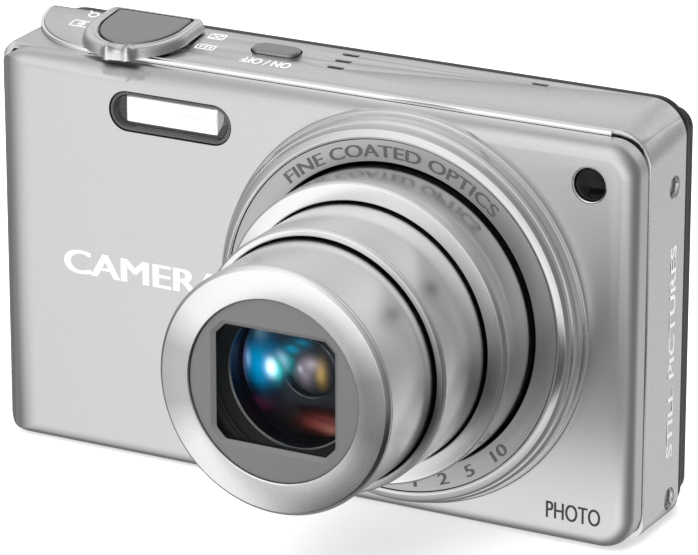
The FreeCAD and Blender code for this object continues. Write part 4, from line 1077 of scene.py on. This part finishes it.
# ---------------------------------------------------------------- finishes for the nodes that keep their CAD form
NODE_FINISH = {
    "lens_housing": "inner", "battery_chamber": "inner", "tripod_bush": "steel", "av_socket": "steel",
    "strap_lug": "steel", "shutter_cup": "inner", "tact_switches": "steel", "xenon_tube": "flash_pane",
    "flash_capacitor": "inner", "battery": "cell", "memory_card": "leaf", "main_board": "board",
    "screen_panel": "screen", "screen_window": "screen", "key_board": "board", "speaker": "inner",
    "microphone": "steel", "hinge_pin": "steel", "zoom_motor": "steel", "focus_lens": "blue_glass_painted_reflections",
    "image_sensor": "board", "second_group_holder": "inner", "second_lens": "blue_glass_painted_reflections",
    "barrier_leaf_top_inner": "leaf", "barrier_leaf_top_outer": "leaf", "barrier_leaf_bottom_inner": "leaf",
    "barrier_leaf_bottom_outer": "leaf", "reduction_gear": "gear", "motor_pinion": "gear",
    "record_button": "rear_key", "menu_button": "rear_key", "playback_button": "rear_key",
    "function_button": "rear_key", "ok_button": "rear_key", "pad_pivot": "rear_key", "pad_ring": "rear_key",
    "door_latch": "rear_key",
}


def dress_nodes():
    for node, thing in frame["nodes"].items():
        if thing.hide_render:
            continue
        thing.data.materials.clear()
        thing.data.materials.append(FINISHES[NODE_FINISH.get(node, "inner")])


# ---------------------------------------------------------------- studio
SKY_FLOOR = 0.20
SKY_PANELS = (
    ((-0.445, -0.831, -0.333), 0.60, 6.0),
    ((-0.20, -0.75, 0.60), 0.80, 3.5),
    ((0.30, -0.90, -0.30), 0.85, 7.0),
    ((-0.30, -0.60, -0.75), 0.30, 8.0),
    ((-0.445, -0.333, 0.831), 0.35, 5.0),
    ((-0.445, 0.72, 0.50), 0.62, 7.0),
    ((0.333, 0.831, 0.445), 0.65, 14.0),
    ((0.40, 0.80, -0.45), 0.60, 12.0),
)
CARD = ((16, -48), (-34, -140), (95, -140), (110, -48))


def sky():
    """Soft panels of light all round, each a broad lobe about one direction."""
    world = bpy.data.worlds.new("studio")
    bpy.context.scene.world = world
    world.use_nodes = True
    tree = world.node_tree
    look = tree.nodes.new("ShaderNodeTexCoord").outputs["Generated"]
    total = SKY_FLOOR
    for aim, amount, tightness in SKY_PANELS:
        facing = tree.nodes.new("ShaderNodeVectorMath")
        facing.operation = "DOT_PRODUCT"
        tree.links.new(look, facing.inputs[0])
        facing.inputs[1].default_value = Vector(aim).normalized()
        value = facing.outputs["Value"]
        for operation, number in (("SUBTRACT", 1.0), ("MULTIPLY", tightness), ("EXPONENT", 0.0),
                ("MULTIPLY", amount), ("ADD", total)):
            step = tree.nodes.new("ShaderNodeMath")
            step.operation = operation
            tree.links.new(value, step.inputs[0])
            if isinstance(number, float):
                step.inputs[1].default_value = number
            else:
                tree.links.new(number, step.inputs[1])
            value = step.outputs[0]
        total = value
    tree.links.new(total, tree.nodes["Background"].inputs["Strength"])
    tree.nodes["Background"].inputs["Color"].default_value = (0.985, 0.995, 1.0, 1)


def dark_card():
    """A dark card under the front right, seen only as a reflection, that shades the right of the front cover."""
    sheet = bpy.data.meshes.new("dark_card")
    sheet.from_pydata([(x * MM, y * MM, -1.5 * MM) for x, y in CARD], [], [(0, 1, 2, 3)])
    card = bpy.data.objects.new("dark_card", sheet)
    bpy.context.scene.collection.objects.link(card)
    sheet.materials.append(FINISHES["inner"])
    for ray in ("camera", "diffuse", "transmission", "volume_scatter", "shadow"):
        setattr(card, "visible_" + ray, False)


def studio():
    """A pale floor, a dark card, the sky and soft lights."""
    floor = bpy.data.meshes.new("floor")
    count = 96
    rim = [(4 * math.cos(TURN * i / count), 4 * math.sin(TURN * i / count), 0) for i in range(count)]
    floor.from_pydata(rim, [], [tuple(range(count))])
    ground = bpy.data.objects.new("floor", floor)
    bpy.context.scene.collection.objects.link(ground)
    paint = Finish("pale_floor")
    mottled(paint, tone(0.93), tone(0.95), scale=0.02)
    paint.shader.inputs["Roughness"].default_value = 0.9
    paint.shader.inputs["Emission Color"].default_value = (1, 1, 1, 1)
    paint.shader.inputs["Emission Strength"].default_value = 0.45
    floor.materials.append(paint.material)
    ground.visible_glossy = False
    dark_card()
    sky()

    lights = (
        ("overhead", (0.0, -0.15, 0.75), 0.9, 0.9, 6.5),
        ("left_box", (-0.75, -0.45, 0.35), 0.5, 0.5, 1.2),
    )
    for name, at, wide, tall, power in lights:
        lamp = bpy.data.lights.new(name, "AREA")
        lamp.shape = "RECTANGLE"
        lamp.size = wide
        lamp.size_y = tall
        lamp.energy = power
        holder = bpy.data.objects.new(name, lamp)
        holder.location = at
        holder.visible_glossy = False
        holder.rotation_mode = "QUATERNION"
        holder.rotation_quaternion = (Vector((0, 0, 0.03)) - Vector(at)).to_track_quat("-Z", "Y")
        bpy.context.scene.collection.objects.link(holder)
    bpy.context.scene.view_settings.view_transform = "Standard"


def camera():
    """The long lens that the object is seen through, level and from the right of the front."""
    target = Vector((2.637, 0.0, 27.907)) * MM
    azimuth, elevation, distance = math.radians(28.17), math.radians(19.45), 0.65262
    back = Vector((math.sin(azimuth) * math.cos(elevation), -math.cos(azimuth) * math.cos(elevation),
        math.sin(elevation)))
    lens = bpy.data.cameras.new("camera")
    lens.sensor_width = 36.0
    lens.lens = 246.4
    lens.shift_x = -0.0047
    lens.shift_y = 0.0048
    lens.clip_start = 0.01
    lens.clip_end = 20.0
    holder = bpy.data.objects.new("camera", lens)
    holder.location = target + back * distance
    holder.rotation_mode = "QUATERNION"
    holder.rotation_quaternion = (-back).to_track_quat("-Z", "Y")
    bpy.context.scene.collection.objects.link(holder)
    bpy.context.scene.camera = holder


shells()
lens_collar()
barrels()
aperture_panel()
glass()
flash_unit()
focus_lamp()
zoom_lever()
shutter_key()
power_key()
deck_marks()
front_marks()
side_marks()
screws()
tripod_thread()
rear_marks()
dress_nodes()
studio()
camera()
